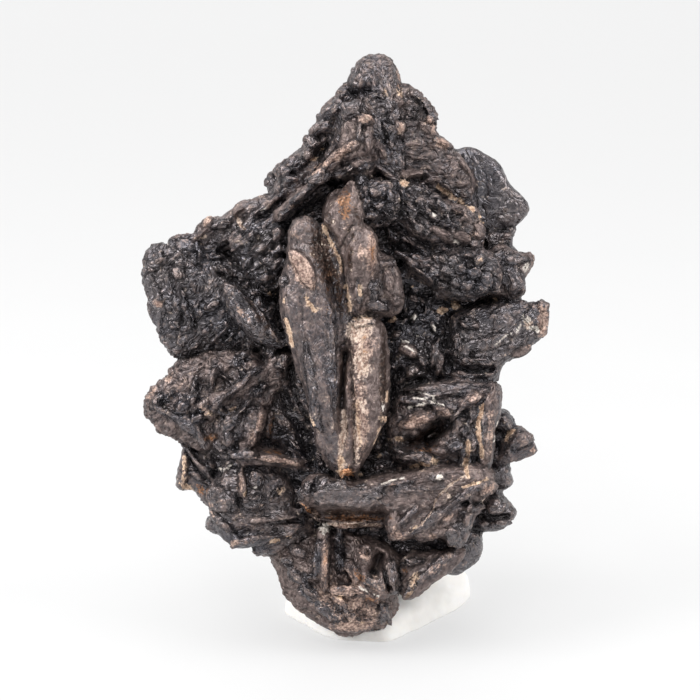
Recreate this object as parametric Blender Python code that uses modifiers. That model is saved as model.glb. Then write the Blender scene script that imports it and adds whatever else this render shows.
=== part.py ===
"""Prophecy stone: an iron-oxide pseudomorph after bladed marcasite, standing in a wad of white putty.

The stone is one solid. It is drawn as many overlapping plates, which are then fused.
Every plate is drawn on the stone's face: u runs to the right and v up the face, both in millimetres
from the stone's lowest tip, and depth runs back from the face's middle plane.
"""

import math
import random
from collections import namedtuple

import bmesh
import bpy
from mathutils import Matrix, Vector, noise

MM = 0.001

# Driving dimensions, in millimetres unless a name says otherwise.
FACE_TILT_DEG = 20.0  # how far the face leans back from upright
DRIFT = 0.16  # how far the middle plane comes forward for each millimetre up the face
ORIGIN = Vector((-0.8, 16.0, -1.6))  # the middle of the finished base, from the stone's lowest tip
WARP_DEPTH, WARP_SIZE = 1.6, 13.0  # waviness of every plate, and the length of one wave
VOXEL = 1.4  # grid size that the plates are fused on
STONE_TRIANGLES, PUTTY_TRIANGLES = 7600, 800
GAP = 0.35  # clearance between the stone and the putty

STONE_COLOUR = (0.075, 0.062, 0.060, 1.0)
PUTTY_COLOUR = (0.82, 0.80, 0.77, 1.0)

# depth is of the plate's middle; lean_u and lean_v are its slope in depth per millimetre along u and v;
# square is 2 for a pebble's round section and more for a flatter plate with a tighter rim.
Plate = namedtuple("Plate", "name depth thick lean_u lean_v square outline")

PLATES = [
    # the pointed top and the two flanks that run down from it
    Plate("summit", 0, 17, 0, 0, 2.6, [
        (-0.5, 136), (0.5, 139.5), (1.5, 141.5), (3, 143.2), (5, 144), (8.5, 144), (10.5, 143), (12, 140.5),
        (12.5, 137), (13, 134), (11, 129.5), (5, 128.5), (0.5, 131)]),
    Plate("summit_shoulder", 1, 16, 0, 0, 2.5, [
        (-3.4, 134.8), (-2.2, 136.6), (-0.5, 137.6), (0.5, 136), (0.5, 131), (-1, 126), (-5.5, 126),
        (-7.2, 129.3), (-5.2, 132.5)]),
    Plate("right_flank", 2, 18, 0.15, 0, 3, [
        (12.5, 137), (15.5, 136), (18.5, 134), (20.5, 132), (22, 129), (21.5, 126), (24, 123.5), (26.5, 121),
        (29, 117), (30.5, 113), (30.5, 108), (25, 108), (19, 111), (11, 115), (8, 122.5), (9, 131)]),
    Plate("right_fan", 8, 11, 0.1, 0, 4.5, [
        (25, 120), (26.5, 121.5), (29.5, 122.5), (33, 121), (37, 118.5), (39, 115), (40, 113), (43, 110.5),
        (45, 106.5), (42.5, 103.5), (40, 102), (35, 100.5), (29.5, 100), (26, 106)]),
    Plate("right_fan_foot", 9, 12, 0, 0, 4, [
        (30, 102), (37.5, 102), (41, 102.5), (40.5, 98.5), (42, 96.5), (39, 93.5), (31, 93.5), (27.5, 97.5)]),
    Plate("left_shoulder", 2, 16, -0.2, 0, 3, [
        (-7.2, 129.2), (-8.8, 127), (-10.2, 124), (-11.8, 121.6), (-14.6, 120), (-17, 118), (-19, 116.6),
        (-18.2, 114.5), (-18.6, 112), (-19.8, 110), (-15, 106), (-10, 109), (-4, 114), (0, 120), (0, 126),
        (-4, 129)]),
    Plate("left_crest", 3, 15, -0.1, 0, 3, [
        (-20.5, 110.5), (-24, 109.5), (-27, 109), (-28, 107), (-32, 105), (-34.5, 105), (-36.5, 103.5),
        (-38, 102), (-40, 100), (-43, 100.5), (-45, 99), (-40, 94.5), (-34, 94.5), (-26, 97.5), (-19, 101),
        (-14.5, 106), (-16, 109)]),
    # the spine and the crown over the twin blades
    Plate("spine", -3, 24, 0, 0.1, 2.5, [
        (-1, 133), (3, 132.5), (6, 129), (8, 122.5), (7, 116), (4, 112), (-1, 112.5), (-4, 117.5), (-3, 125)]),
    Plate("spine_left_ridge", -7, 14, 0, 0, 2.4, [
        (0, 122.5), (2.5, 120), (-1, 115.5), (-6, 112.5), (-10.5, 109), (-14.5, 105), (-17.5, 103),
        (-18.5, 105), (-15, 109), (-10.5, 112.5), (-7, 117), (-4, 121)]),
    Plate("crown_knobs", -7, 20, 0, 0, 2.6, [
        (0.5, 112.5), (5, 114), (10.5, 112.5), (13, 109), (12.5, 104.5), (9, 102), (3, 102.5), (0.5, 106)]),
    Plate("crown_wedge", -11, 18, 0, 0, 2.4, [
        (-5, 110), (-2, 111.5), (0.5, 110), (1, 106), (0, 102), (-2, 97.5), (-2.5, 95), (-4, 99), (-6, 102),
        (-6.5, 106)]),
    Plate("crown_blade", -13, 20, 0, 0, 2.5, [
        (0, 103.5), (3, 103), (6, 101), (7.5, 97), (7, 92), (6.5, 87.5), (5.5, 82.5), (3, 80), (0, 81),
        (-1.5, 86), (-2, 92.5), (-2, 99)]),
    Plate("crown_blade_outer", -10, 17, 0, 0, 3, [
        (7, 95.5), (10, 95), (12, 92.5), (13, 88), (13.5, 84), (12, 80.5), (7.5, 80), (4.5, 82), (5, 89)]),
    # the twin blades down the middle of the face
    Plate("twin_left", -14, 20, 0, 0, 2.6, [
        (-12, 104.5), (-9, 103.5), (-7, 100.5), (-5, 96), (-4, 90), (-3, 84), (-2.5, 77.5), (-2.5, 67.5),
        (-2.5, 57.5), (-1.5, 50), (-1, 44.5), (0, 40.5), (-2.5, 40.5), (-5.5, 43.5), (-8, 47.5), (-9, 54),
        (-10.5, 60), (-12, 65), (-14, 71), (-15.5, 76), (-17, 81), (-17.5, 85.5), (-16.5, 90), (-15.5, 94.5),
        (-15, 100), (-14, 103)]),
    Plate("twin_right", -12, 20, 0, 0, 2.8, [
        (0, 80), (3, 81), (6, 80.5), (8.5, 78.5), (9.5, 74), (10, 66), (10, 60), (9, 55.5), (7.5, 51),
        (5.5, 47.5), (3.5, 44), (2, 40.5), (0.5, 40.5), (0.5, 46), (0, 55), (-0.5, 62.5), (-1, 70), (-1, 75)]),
    Plate("twin_splinter", -15, 13, 0, 0, 2.5, [
        (-1.5, 72), (-0.5, 72), (0.5, 65), (1, 57.5), (1, 50), (0.5, 42.5), (-0.5, 41.5), (-1, 46), (-1.5, 55),
        (-1.5, 64)]),
    # the left side, from the top down
    Plate("left_upper_plate", 0, 15, -0.12, 0, 3.5, [
        (-51, 94.5), (-49.5, 96.5), (-47, 98), (-42.5, 98.5), (-36, 97.5), (-29, 94.5), (-22, 89), (-17.5, 82.5),
        (-16, 76), (-20, 72.5), (-26, 72), (-34, 72.5), (-39, 70.5), (-42, 70), (-44.5, 71), (-46.5, 74),
        (-47.5, 77.5), (-48.5, 81), (-50, 85.5), (-51, 90)]),
    Plate("left_upper_rib", -8, 9, 0, 0, 2.6, [
        (-30.5, 88.5), (-28, 88), (-24, 84), (-19.5, 79), (-16, 75), (-16.5, 72.5), (-20, 72), (-25, 76),
        (-29, 80.5), (-31, 85)]),
    Plate("left_upper_inner", -3, 14, 0, 0, 2.6, [
        (-29, 101), (-21, 104.5), (-15, 104), (-14.5, 97.5), (-16, 89), (-20.5, 86), (-25, 88), (-28, 94)]),
    Plate("left_middle_plate", 0, 17, -0.15, 0, 3, [
        (-42, 70), (-43.5, 68), (-45.5, 65), (-47.5, 64), (-49.5, 62.5), (-51, 60), (-51, 57), (-49.5, 54),
        (-47, 51), (-44, 50), (-40, 48), (-36, 46), (-29, 47.5), (-22, 52.5), (-17, 60), (-14.5, 67.5),
        (-15.5, 72), (-24, 72), (-32.5, 72.5), (-39, 71)]),
    Plate("left_middle_ridge", -6, 8, 0, 0, 2.4, [
        (-13, 72), (-12.5, 69.5), (-20, 64.5), (-26, 60.5), (-33, 57), (-39, 56), (-37.5, 59.5), (-31, 62.5),
        (-25, 66), (-19, 70.5)]),
    Plate("left_middle_knobs", -5, 14, 0, 0, 2.4, [
        (-22, 59), (-20, 55), (-22, 49), (-26, 47), (-31, 48), (-34, 52.5), (-32, 56), (-27.5, 58)]),
    Plate("left_shelf", -6, 12, 0, 0, 3, [
        (-27.5, 47), (-22, 48), (-15, 48), (-12, 46), (-11, 43), (-16, 43), (-22, 43.5), (-27.5, 43.5)]),
    Plate("left_small_wing", 3, 12, -0.1, 0, 4, [
        (-40.5, 48.5), (-42, 46), (-42.5, 43), (-43, 40.5), (-43, 38), (-41.5, 37), (-39, 37), (-37, 35),
        (-35, 33), (-32, 37.5), (-31, 42.5), (-34.5, 47)]),
    Plate("left_low_lobe", -3, 18, 0, 0, 3, [
        (-32, 42), (-34, 39.5), (-35.5, 36), (-35, 32.5), (-34.5, 29.5), (-32, 27), (-29, 25), (-25, 23.5),
        (-21, 24), (-16, 27), (-13.5, 31), (-12.5, 36), (-14, 40.5), (-19, 43.5), (-25.5, 44)]),
    Plate("left_low_back", 3, 9, 0, 0, 3, [
        (-34.5, 31), (-36, 29.5), (-36, 27.5), (-34, 26), (-31, 25.5), (-29, 27.5), (-30, 31)]),
    Plate("left_low_rim", -8, 8, 0, 0, 2.3, [
        (-34, 30), (-32, 26), (-28, 23), (-24.5, 23), (-19, 24), (-17, 26), (-22, 27), (-26, 26), (-30, 28)]),
    Plate("left_low_tier", -2, 14, 0, 0, 3, [
        (-24, 24), (-22, 21.5), (-19.5, 20.5), (-15, 22), (-10, 25), (-7.5, 30), (-12.5, 32), (-19, 30),
        (-22, 27)]),
    # the right side, from the top down
    Plate("right_upper_mass", -2, 20, 0.12, 0, 3, [
        (11, 114.5), (19, 112), (25.5, 108.5), (30.5, 107), (32.5, 102.5), (32.5, 97.5), (30, 94.5),
        (22.5, 94.5), (16, 96), (12, 100), (9, 104), (7.5, 110)]),
    Plate("right_middle_mass", -3, 20, 0.1, 0, 2.8, [
        (12.5, 96), (20, 96), (29, 97), (35, 96), (37.5, 92.5), (37.5, 87.5), (34, 85), (29, 84), (22.5, 84.5),
        (19, 87.5), (14.5, 90.5)]),
    Plate("right_wing_upper", 4, 13, 0.05, 0, 4.5, [
        (35, 97.5), (39, 98), (42, 96.5), (45, 96), (46, 94.5), (45, 92), (43.5, 89), (44, 87), (42, 84.5),
        (37.5, 84.5), (33, 85), (32, 91)]),
    Plate("right_wing", 2, 16, 0.18, 0, 4, [
        (25, 80.5), (30, 83), (37.5, 84), (42, 84.5), (45.5, 84), (48, 85), (49.5, 83), (49.5, 79.5),
        (49.5, 76), (47.5, 75), (45, 73.5), (44.5, 71.5), (41, 70), (38, 68), (36.5, 64), (32, 63), (27, 65.5),
        (24, 70.5), (24, 76)]),
    Plate("right_recess", 6, 20, 0, 0, 3.5, [
        (9, 86), (22.5, 86), (26, 75), (23, 64), (12.5, 63), (8, 70)]),
    Plate("right_low_mass", -2, 24, 0.1, 0, 3, [
        (10.5, 60), (15, 63), (22.5, 65), (30, 65), (35, 62.5), (36, 55), (35.5, 46), (32.5, 42.5), (25, 42),
        (17.5, 41), (12.5, 42.5), (9.5, 47.5), (9, 54)]),
    Plate("right_slab", -6, 16, 0, 0, 4, [
        (33, 63), (36, 64), (37.5, 62), (37.5, 57.5), (36, 52.5), (35.5, 46), (35, 42.5), (32, 42.5),
        (31.5, 49), (32, 56)]),
    Plate("right_slab_inner", -7, 15, 0, 0, 3.5, [
        (29.5, 62), (32, 62), (31.5, 55), (30.5, 47.5), (29, 42), (27, 42.5), (28, 50), (29, 56)]),
    Plate("right_low_wing_back", 6, 14, 0, 0, 3.5, [
        (36, 56), (38, 57.5), (40.5, 56), (42, 54), (40.5, 50), (37.5, 46), (35, 47.5)]),
    Plate("right_low_wing", 3, 14, 0, 0, 4, [
        (37.5, 50), (39.5, 52), (42.5, 53.5), (45, 51.5), (46, 49), (46.5, 46.5), (43, 45), (39.5, 44), (37, 43),
        (35.5, 45)]),
    Plate("right_low_knob", 4, 14, 0, 0, 3, [
        (35, 43), (39, 44), (40.5, 42.5), (40, 41.5), (41, 39.5), (40, 37.5), (37.5, 36.5), (34.5, 37),
        (33, 40)]),
    Plate("right_low_lobe", 3, 17, 0, 0, 3, [
        (34, 36), (37, 37), (39.5, 35), (41.5, 32.5), (42, 31), (40.5, 29), (38, 27), (33.5, 26.5), (30, 27.5),
        (29.5, 32)]),
    Plate("right_heel", 5, 18, 0, 0, 3, [
        (28, 28), (33, 27.5), (33.5, 24), (33, 20.5), (31, 18), (27.5, 16), (23, 16), (20.5, 19), (22.5, 24)]),
    # the ledge across the lower face, and the foot below it
    Plate("ledge", -8, 22, 0.08, 0, 4, [
        (-12, 39.5), (-7.5, 41.5), (-1, 40), (6, 41), (14, 42.5), (22.5, 44), (32, 44.5), (36, 42.5),
        (35.5, 38), (32, 34), (27.5, 31), (20, 30), (12.5, 29.5), (9, 29.5), (-1, 29.5), (-6, 30), (-10, 32),
        (-12, 35)]),
    Plate("ledge_lobe", -9, 18, 0.15, 0, 3.5, [
        (9, 32), (12.5, 35), (20, 36), (30, 37), (33, 34), (31, 30), (29.5, 27), (27.5, 24), (25, 23.5),
        (22.5, 26), (19, 25.5), (15.5, 26), (12.5, 25), (10, 26), (8.5, 28.5)]),
    Plate("foot", 0, 22, 0, 0, 3.2, [
        (-19.5, 23), (-19, 19), (-17, 15), (-16.5, 12), (-14.5, 9), (-11, 5.5), (-7.5, 3.5), (-4, 1.5),
        (-2, 0.5), (2.5, 1), (6, 2.5), (9, 2.5), (11, 5.5), (12.5, 8), (12, 11), (13, 16), (12.5, 22.5),
        (5, 26), (-5, 28), (-14, 26)]),
    Plate("foot_blade", 0, 17, 0, 0, 3.5, [
        (12, 20), (17.5, 22), (24, 23), (27.5, 23.5), (26, 20.5), (23, 17), (20, 15), (17.5, 13), (16, 10.5),
        (14, 11.5), (12.5, 14)]),
    Plate("foot_rod", -8, 9, 0, 0, 2.6, [
        (-8, 27.5), (-5, 28), (-4.5, 20), (-5, 13), (-7.5, 13), (-8, 20)]),
    Plate("foot_hump", -6, 18, 0, 0, 2.6, [
        (0.5, 23), (5.5, 24.5), (11, 23), (13, 19), (12, 13), (9, 10), (3, 10.5), (0, 15)]),
    # the floors of the gullies between them
    Plate("gully_floor", -3, 14, 0, 0, 3, [
        (-17, 98), (-15, 105), (-10, 111), (-4, 114), (-3, 106), (-8, 101), (-12, 97)]),
    Plate("left_low_floor", 0, 14, 0, 0, 3, [
        (-35, 48), (-26, 50), (-20, 46), (-22, 40), (-30, 38), (-35, 42)]),
    Plate("under_ledge_floor", 2, 18, 0, 0, 3, [
        (8, 30), (20, 31), (32, 30), (30, 20), (20, 16), (8, 18)]),
    # the body that all of them grow from
    Plate("core_low", 6, 28, 0, 0, 2.8, [
        (-30, 50), (-25, 30), (-12, 20), (10, 18), (25, 25), (33, 40), (34, 60), (25, 80), (0, 85), (-25, 80),
        (-35, 65)]),
    Plate("core_high", 5, 22, 0, 0, 2.8, [
        (-28, 90), (-15, 75), (15, 75), (32, 90), (30, 105), (15, 122), (5, 134), (-1, 132), (-12, 117),
        (-19, 109), (-29, 102)]),
]

HOLLOWS = [
    Plate("ledge_hollow", -19, 14, 0, 0, 4, [
        (-10, 34), (-5, 33.5), (2.5, 34), (8.5, 33.5), (8.5, 31.5), (2.5, 31), (-5, 31), (-8.5, 32)]),
    Plate("right_cavity", -14, 16, 0, 0, 2.4, [
        (16.5, 50), (19.5, 53), (23, 55), (25, 53.5), (23, 49.5), (20, 47.5)]),
    Plate("foot_hole", -15, 13, 0, 0, 2.4, [
        (5.5, 21), (7.5, 22), (9, 19), (9.5, 15), (8, 14.5), (6.5, 17.5)]),
]

# The putty, as pillows that are cut off level at the floor: height, squareness, and the outline seen from
# above, x to the right and y to the back of the stone's tip.
PUTTY_LUMPS = [
    (9.0, 3.2, [(-16.5, 21), (-12, 12), (-5, 4), (3, 0.7), (12.5, 3), (20, 12), (28, 21), (31.5, 30), (30, 38),
                (22, 43), (8, 44.5), (-6, 42), (-14, 34)]),
    (27.0, 2.6, [(-12, 26), (-7, 17), (4, 13), (15, 16), (22, 26), (18, 37), (6, 41), (-7, 37)]),
]

# The back carries lobes like the face's, on a spiral from its middle outwards.
BACK_CENTRE, BACK_REACH = Vector((-1.0, 70.0)), Vector((36.0, 58.0))
BACK_LOBES, BACK_SEED = 26, 11
GOLDEN_ANGLE = math.pi * (3 - math.sqrt(5))


def clear_scene():
    for obj in list(bpy.data.objects):
        bpy.data.objects.remove(obj)


def collection(name):
    made = bpy.data.collections.new(name)
    bpy.context.scene.collection.children.link(made)
    return made


def material(name, colour, roughness, metallic=0.0):
    made = bpy.data.materials.new(name)
    made.use_nodes = True
    shader = made.node_tree.nodes["Principled BSDF"]
    shader.inputs["Base Color"].default_value = colour
    shader.inputs["Roughness"].default_value = roughness
    shader.inputs["Metallic"].default_value = metallic
    return made


def smooth_loop(points, count):
    """count points evenly spaced along a smooth closed curve through the given ones (Catmull-Rom)."""
    steps = 10
    loop = [Vector(p) for p in points]
    fine = []
    for i, here in enumerate(loop):
        before, after, beyond = loop[i - 1], loop[(i + 1) % len(loop)], loop[(i + 2) % len(loop)]
        for k in range(steps):
            t = k / steps
            fine.append(0.5 * (2 * here + (after - before) * t
                               + (2 * before - 5 * here + 4 * after - beyond) * t * t
                               + (3 * here - before - 3 * after + beyond) * t ** 3))
    lengths = [(fine[(i + 1) % len(fine)] - p).length for i, p in enumerate(fine)]
    total, found, passed, i = sum(lengths), [], 0.0, 0
    for k in range(count):
        target = total * k / count
        while passed + lengths[i] < target:
            passed += lengths[i]
            i += 1
        share = (target - passed) / max(lengths[i], 1e-9)
        found.append(fine[i].lerp(fine[(i + 1) % len(fine)], share))
    return found


def on_face(u, v, depth):
    """A point of the face, in millimetres, in the part's own frame, in metres."""
    tilt = math.radians(FACE_TILT_DEG)
    back = depth - DRIFT * v
    point = Vector((u, back * math.cos(tilt) + v * math.sin(tilt), v * math.cos(tilt) - back * math.sin(tilt)))
    return (point - ORIGIN) * MM


def unit_sphere(segments, rings):
    """The corners and faces of a sphere of radius 1, its poles on the z axis."""
    bm = bmesh.new()
    bmesh.ops.create_uvsphere(bm, u_segments=segments, v_segments=rings, radius=1.0)
    bm.verts.ensure_lookup_table()
    corners = [vert.co.copy() for vert in bm.verts]
    faces = [[vert.index for vert in face.verts] for face in bm.faces]
    bm.free()
    return corners, faces


def pillow(sphere, segments, outline, square):
    """Pulls a sphere's equator out to an outline. Yields across, along, the outline's middle and -1 to 1 of rise."""
    rim = smooth_loop(outline, segments)
    centre = sum(rim, Vector((0, 0))) / segments
    for corner in sphere:
        turn = math.atan2(corner.y, corner.x) / (2 * math.pi) * segments
        reach = min(1.0, math.hypot(corner.x, corner.y)) ** (2 / square)
        rise = math.copysign(abs(corner.z) ** (2 / square), corner.z)
        across, along = centre + (rim[round(turn) % segments] - centre) * reach
        yield across, along, centre, rise


def plates_object(name, plates, home, segments=40, rings=16):
    """One object of closed plates, each a sphere pulled out to the plate's outline and flattened."""
    sphere, sphere_faces = unit_sphere(segments, rings)
    points, faces = [], []
    for plate in plates:
        first = len(points)
        faces += [[first + i for i in face] for face in sphere_faces]
        for u, v, centre, rise in pillow(sphere, segments, plate.outline, plate.square):
            depth = plate.depth + plate.lean_u * (u - centre.x) + plate.lean_v * (v - centre.y)
            wave = noise.noise(Vector((u, depth, v)) / WARP_SIZE)
            points.append(on_face(u, v, depth + rise * plate.thick / 2 + WARP_DEPTH * wave))
    return object_of(name, points, faces, home)


def back_plates():
    """Lobes over the back, each an uneven ten-sided outline, larger near the middle."""
    dice = random.Random(BACK_SEED)
    corners = 10
    for i in range(BACK_LOBES):
        share = math.sqrt((i + 0.5) / BACK_LOBES)
        angle = i * GOLDEN_ANGLE
        narrow = 1.0 - 0.58 * max(0.0, math.sin(angle)) * share
        reach = Vector((BACK_REACH.x * narrow, BACK_REACH.y)) * share
        middle = BACK_CENTRE + Vector((math.cos(angle) * reach.x, math.sin(angle) * reach.y))
        size = 13.0 - 4.5 * share
        stretch = dice.uniform(1.0, 1.5)
        heading = dice.uniform(0, math.pi)
        outline = []
        for k in range(corners):
            way = 2 * math.pi * k / corners
            radius = size * dice.uniform(0.75, 1.1)
            offset = Vector((math.cos(way) * radius * stretch, math.sin(way) * radius / stretch))
            outline.append(middle + Matrix.Rotation(heading, 2) @ offset)
        yield Plate(f"back_{i}", 15.0 - 10.0 * share ** 2, 14.0, dice.uniform(-0.35, 0.35),
                    dice.uniform(-0.25, 0.25), dice.uniform(2.6, 4.5), outline)


def object_of(name, points, faces, home):
    mesh = bpy.data.meshes.new(name)
    mesh.from_pydata(points, [], faces)
    obj = bpy.data.objects.new(name, mesh)
    home.objects.link(obj)
    return obj


def hide(obj):
    obj.hide_render = True
    obj.display_type = "WIRE"


def apply_modifiers(obj):
    """Replaces the object's mesh by what its modifiers make of it."""
    bpy.context.view_layer.update()
    graph = bpy.context.evaluated_depsgraph_get()
    made = bpy.data.meshes.new_from_object(obj.evaluated_get(graph))
    obj.modifiers.clear()
    obj.data = made


def fuse(obj, voxel):
    """Fuses overlapping closed shapes into one skin, on a grid."""
    remesh = obj.modifiers.new("fuse", "REMESH")
    remesh.mode = "VOXEL"
    remesh.voxel_size = voxel * MM
    remesh.adaptivity = 0.0
    relax = obj.modifiers.new("relax", "SMOOTH")
    relax.factor = 0.5
    relax.iterations = 2
    apply_modifiers(obj)
    keep_largest_shell(obj)


def keep_largest_shell(obj):
    """Drops the small closed shells that fusing leaves inside, where plates enclose a pocket."""
    bm = bmesh.new()
    bm.from_mesh(obj.data)
    bm.verts.ensure_lookup_table()
    seen, shells = set(), []
    for start in bm.verts:
        if start.index in seen:
            continue
        seen.add(start.index)
        shell, front = [], [start]
        while front:
            vert = front.pop()
            shell.append(vert)
            for edge in vert.link_edges:
                other = edge.other_vert(vert)
                if other.index not in seen:
                    seen.add(other.index)
                    front.append(other)
        shells.append(shell)
    shells.sort(key=len)
    for shell in shells[:-1]:
        bmesh.ops.delete(bm, geom=shell, context="VERTS")
    bm.to_mesh(obj.data)
    bm.free()


def cut(obj, cutter, folded=False):
    """Takes the cutter's shape out of the object; folded says that the cutter's skin may cross itself."""
    modifier = obj.modifiers.new("cut_" + cutter.name, "BOOLEAN")
    modifier.operation = "DIFFERENCE"
    modifier.solver = "EXACT"
    modifier.use_self = folded
    modifier.object = cutter


def thin_out(obj, triangles):
    """Collapses edges until about this many triangles are left."""
    obj.data.calc_loop_triangles()
    modifier = obj.modifiers.new("thin_out", "DECIMATE")
    modifier.ratio = min(1.0, triangles / len(obj.data.loop_triangles))
    modifier.use_collapse_triangulate = True
    apply_modifiers(obj)


def make_stone(home):
    stone = plates_object("stone", [*PLATES, *back_plates()], home)
    fuse(stone, VOXEL)
    thin_out(stone, STONE_TRIANGLES)
    stone.data.materials.append(material("iron_oxide", STONE_COLOUR, 0.45))
    return stone


def hollow_out(stone, cutters):
    for plate in HOLLOWS:
        hollow = plates_object(plate.name, [plate], cutters, segments=16, rings=8)
        hide(hollow)
        cut(stone, hollow)
    apply_modifiers(stone)
    keep_largest_shell(stone)


def lumps_object(name, lumps, home, segments=40, rings=20):
    """One object of pillows of putty, each a plan outline, in millimetres from the stone's tip, and a height."""
    sphere, sphere_faces = unit_sphere(segments, rings)
    points, faces = [], []
    for height, square, outline in lumps:
        first = len(points)
        faces += [[first + i for i in face] for face in sphere_faces]
        for x, y, _, rise in pillow(sphere, segments, outline, square):
            points.append(Vector((x - ORIGIN.x, y - ORIGIN.y, rise * height)) * MM)
    return object_of(name, points, faces, home)


def level_base(obj):
    """Slices off what is below the floor and closes the cut with one flat face."""
    bm = bmesh.new()
    bm.from_mesh(obj.data)
    geometry = [*bm.verts, *bm.edges, *bm.faces]
    bmesh.ops.bisect_plane(bm, geom=geometry, plane_co=(0, 0, 0), plane_no=(0, 0, 1), clear_inner=True)
    bmesh.ops.contextual_create(bm, geom=[edge for edge in bm.edges if edge.is_boundary])
    bm.to_mesh(obj.data)
    bm.free()


def make_putty(home, cutters, stone):
    putty = lumps_object("putty", PUTTY_LUMPS, home)
    fuse(putty, VOXEL)
    thin_out(putty, 2 * PUTTY_TRIANGLES)
    level_base(putty)
    imprint = bpy.data.objects.new("imprint", stone.data.copy())
    cutters.objects.link(imprint)
    hide(imprint)
    swell = imprint.modifiers.new("swell", "DISPLACE")
    swell.strength = GAP * MM
    swell.mid_level = 0.0
    cut(putty, imprint, folded=True)
    apply_modifiers(putty)
    keep_largest_shell(putty)
    putty.data.materials.append(material("putty", PUTTY_COLOUR, 0.7))
    return putty


def main():
    clear_scene()
    parts = collection("prophecy_stone")
    cutters = collection("cutters")
    stone = make_stone(parts)
    make_putty(parts, cutters, stone)
    hollow_out(stone, cutters)


main()
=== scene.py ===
# %% [markdown]
# # A prophecy stone in a wad of putty
#
# A prophecy stone is a lump of bladed marcasite that turned to iron oxide, blade by blade, and kept its
# shape. It is one solid of fused blades and plates, almost black, satin, with brown worn edges and ochre in
# its cracks. It stands on its narrow end, pushed into a wad of white putty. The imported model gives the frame
# and the size.

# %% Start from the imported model
import math
import random
from collections import namedtuple

import bmesh
import bpy
import numpy as np
from mathutils import Matrix, Vector, noise
from mathutils.bvhtree import BVHTree
from mathutils.kdtree import KDTree


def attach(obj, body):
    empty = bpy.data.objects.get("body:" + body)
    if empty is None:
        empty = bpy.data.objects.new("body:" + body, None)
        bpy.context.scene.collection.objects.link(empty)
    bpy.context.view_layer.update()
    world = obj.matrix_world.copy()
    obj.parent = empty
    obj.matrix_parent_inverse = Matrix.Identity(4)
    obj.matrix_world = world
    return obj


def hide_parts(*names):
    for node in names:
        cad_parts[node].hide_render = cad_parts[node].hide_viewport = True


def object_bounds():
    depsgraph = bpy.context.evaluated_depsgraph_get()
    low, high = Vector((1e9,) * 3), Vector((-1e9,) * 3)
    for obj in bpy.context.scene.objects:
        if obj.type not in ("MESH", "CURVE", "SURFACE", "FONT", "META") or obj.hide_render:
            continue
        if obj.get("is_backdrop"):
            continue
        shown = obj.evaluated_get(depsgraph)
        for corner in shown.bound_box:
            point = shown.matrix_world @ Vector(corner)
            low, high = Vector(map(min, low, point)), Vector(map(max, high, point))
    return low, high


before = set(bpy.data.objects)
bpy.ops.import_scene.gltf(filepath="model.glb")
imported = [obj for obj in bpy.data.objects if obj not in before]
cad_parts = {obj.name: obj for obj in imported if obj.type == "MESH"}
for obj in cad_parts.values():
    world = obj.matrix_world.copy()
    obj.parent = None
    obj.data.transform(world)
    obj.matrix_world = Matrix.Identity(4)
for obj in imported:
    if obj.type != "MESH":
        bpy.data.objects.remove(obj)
cad_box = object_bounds()
print("nodes", sorted(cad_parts), "box", cad_box)

# %% [markdown]
# ## The stone's face, as a drawing board
#
# The stone leans back a little, and everything worth drawing is on its face. So it is drawn on a board that
# leans the same way: u to the right and v up, in millimetres from the stone's lowest tip, and depth straight
# back from the board. Small marks are easier to place on squared paper, so they are given in
# quarter-millimetre squares, counted right and down from the top left corner of a sheet that frames the
# stone.

# %% The board
MM = 0.001
BOARD_TILT = math.radians(20)  # how far the board leans back
DRIFT = 0.16  # how far the stone's middle comes forward for each millimetre up the board
ORIGIN = Vector((-0.8, 16.0, -1.6))  # the middle of the base, in millimetres from the stone's tip
SQUARE = 0.25  # millimetres
PAGE = 700  # squares along each side of the sheet
TIP_COLUMN, TIP_ROW = 349, 638  # the square that the stone's tip is in
AWAY = Vector((0, math.cos(BOARD_TILT), -math.sin(BOARD_TILT)))
UP_BOARD = Vector((0, math.sin(BOARD_TILT), math.cos(BOARD_TILT)))


def on_board(u, v, depth):
    """A point of the board, in millimetres, as a point of the scene, in metres."""
    return (Vector((u, 0, 0)) + UP_BOARD * v + AWAY * (depth - DRIFT * v) - ORIGIN) * MM


def to_board(points):
    """Points of the scene as columns, rows and depths on the board: squares, squares and millimetres."""
    mm = points / MM + np.array(ORIGIN)
    v = mm @ np.array(UP_BOARD)
    depth = mm @ np.array(AWAY) + DRIFT * v
    return TIP_COLUMN + mm[:, 0] / SQUARE, TIP_ROW - v / SQUARE, depth


def from_square(column, row):
    """A place on the squared paper as u and v on the board."""
    return (column - TIP_COLUMN) * SQUARE, (TIP_ROW - row) * SQUARE


print("sheet:", PAGE * SQUARE, "mm square")

# %% [markdown]
# ## The plates
#
# The stone's main shapes are plates that lie over one another like slates. Each is drawn as a closed outline
# on the board, with the depth of its middle, its thickness, its slope back to the right and up, and a number
# for its edge: 2 gives a round pebble and 4 a flat plate with a tight rim. A sphere pulled out to the
# outline makes each one. They could be sculpted as one surface, but separate overlapping plates leave the
# creases that the real stone has.
#
# The crust differs from plate to plate. Some is puckered like a raisin, some is drawn out in fine streaks
# along the blade, and some is nearly smooth. Brown shows where the black skin is thin. So each plate also
# has a skin of four numbers: how puckered, how streaked, which way its streaks run (degrees from the right),
# and how brown.

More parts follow.
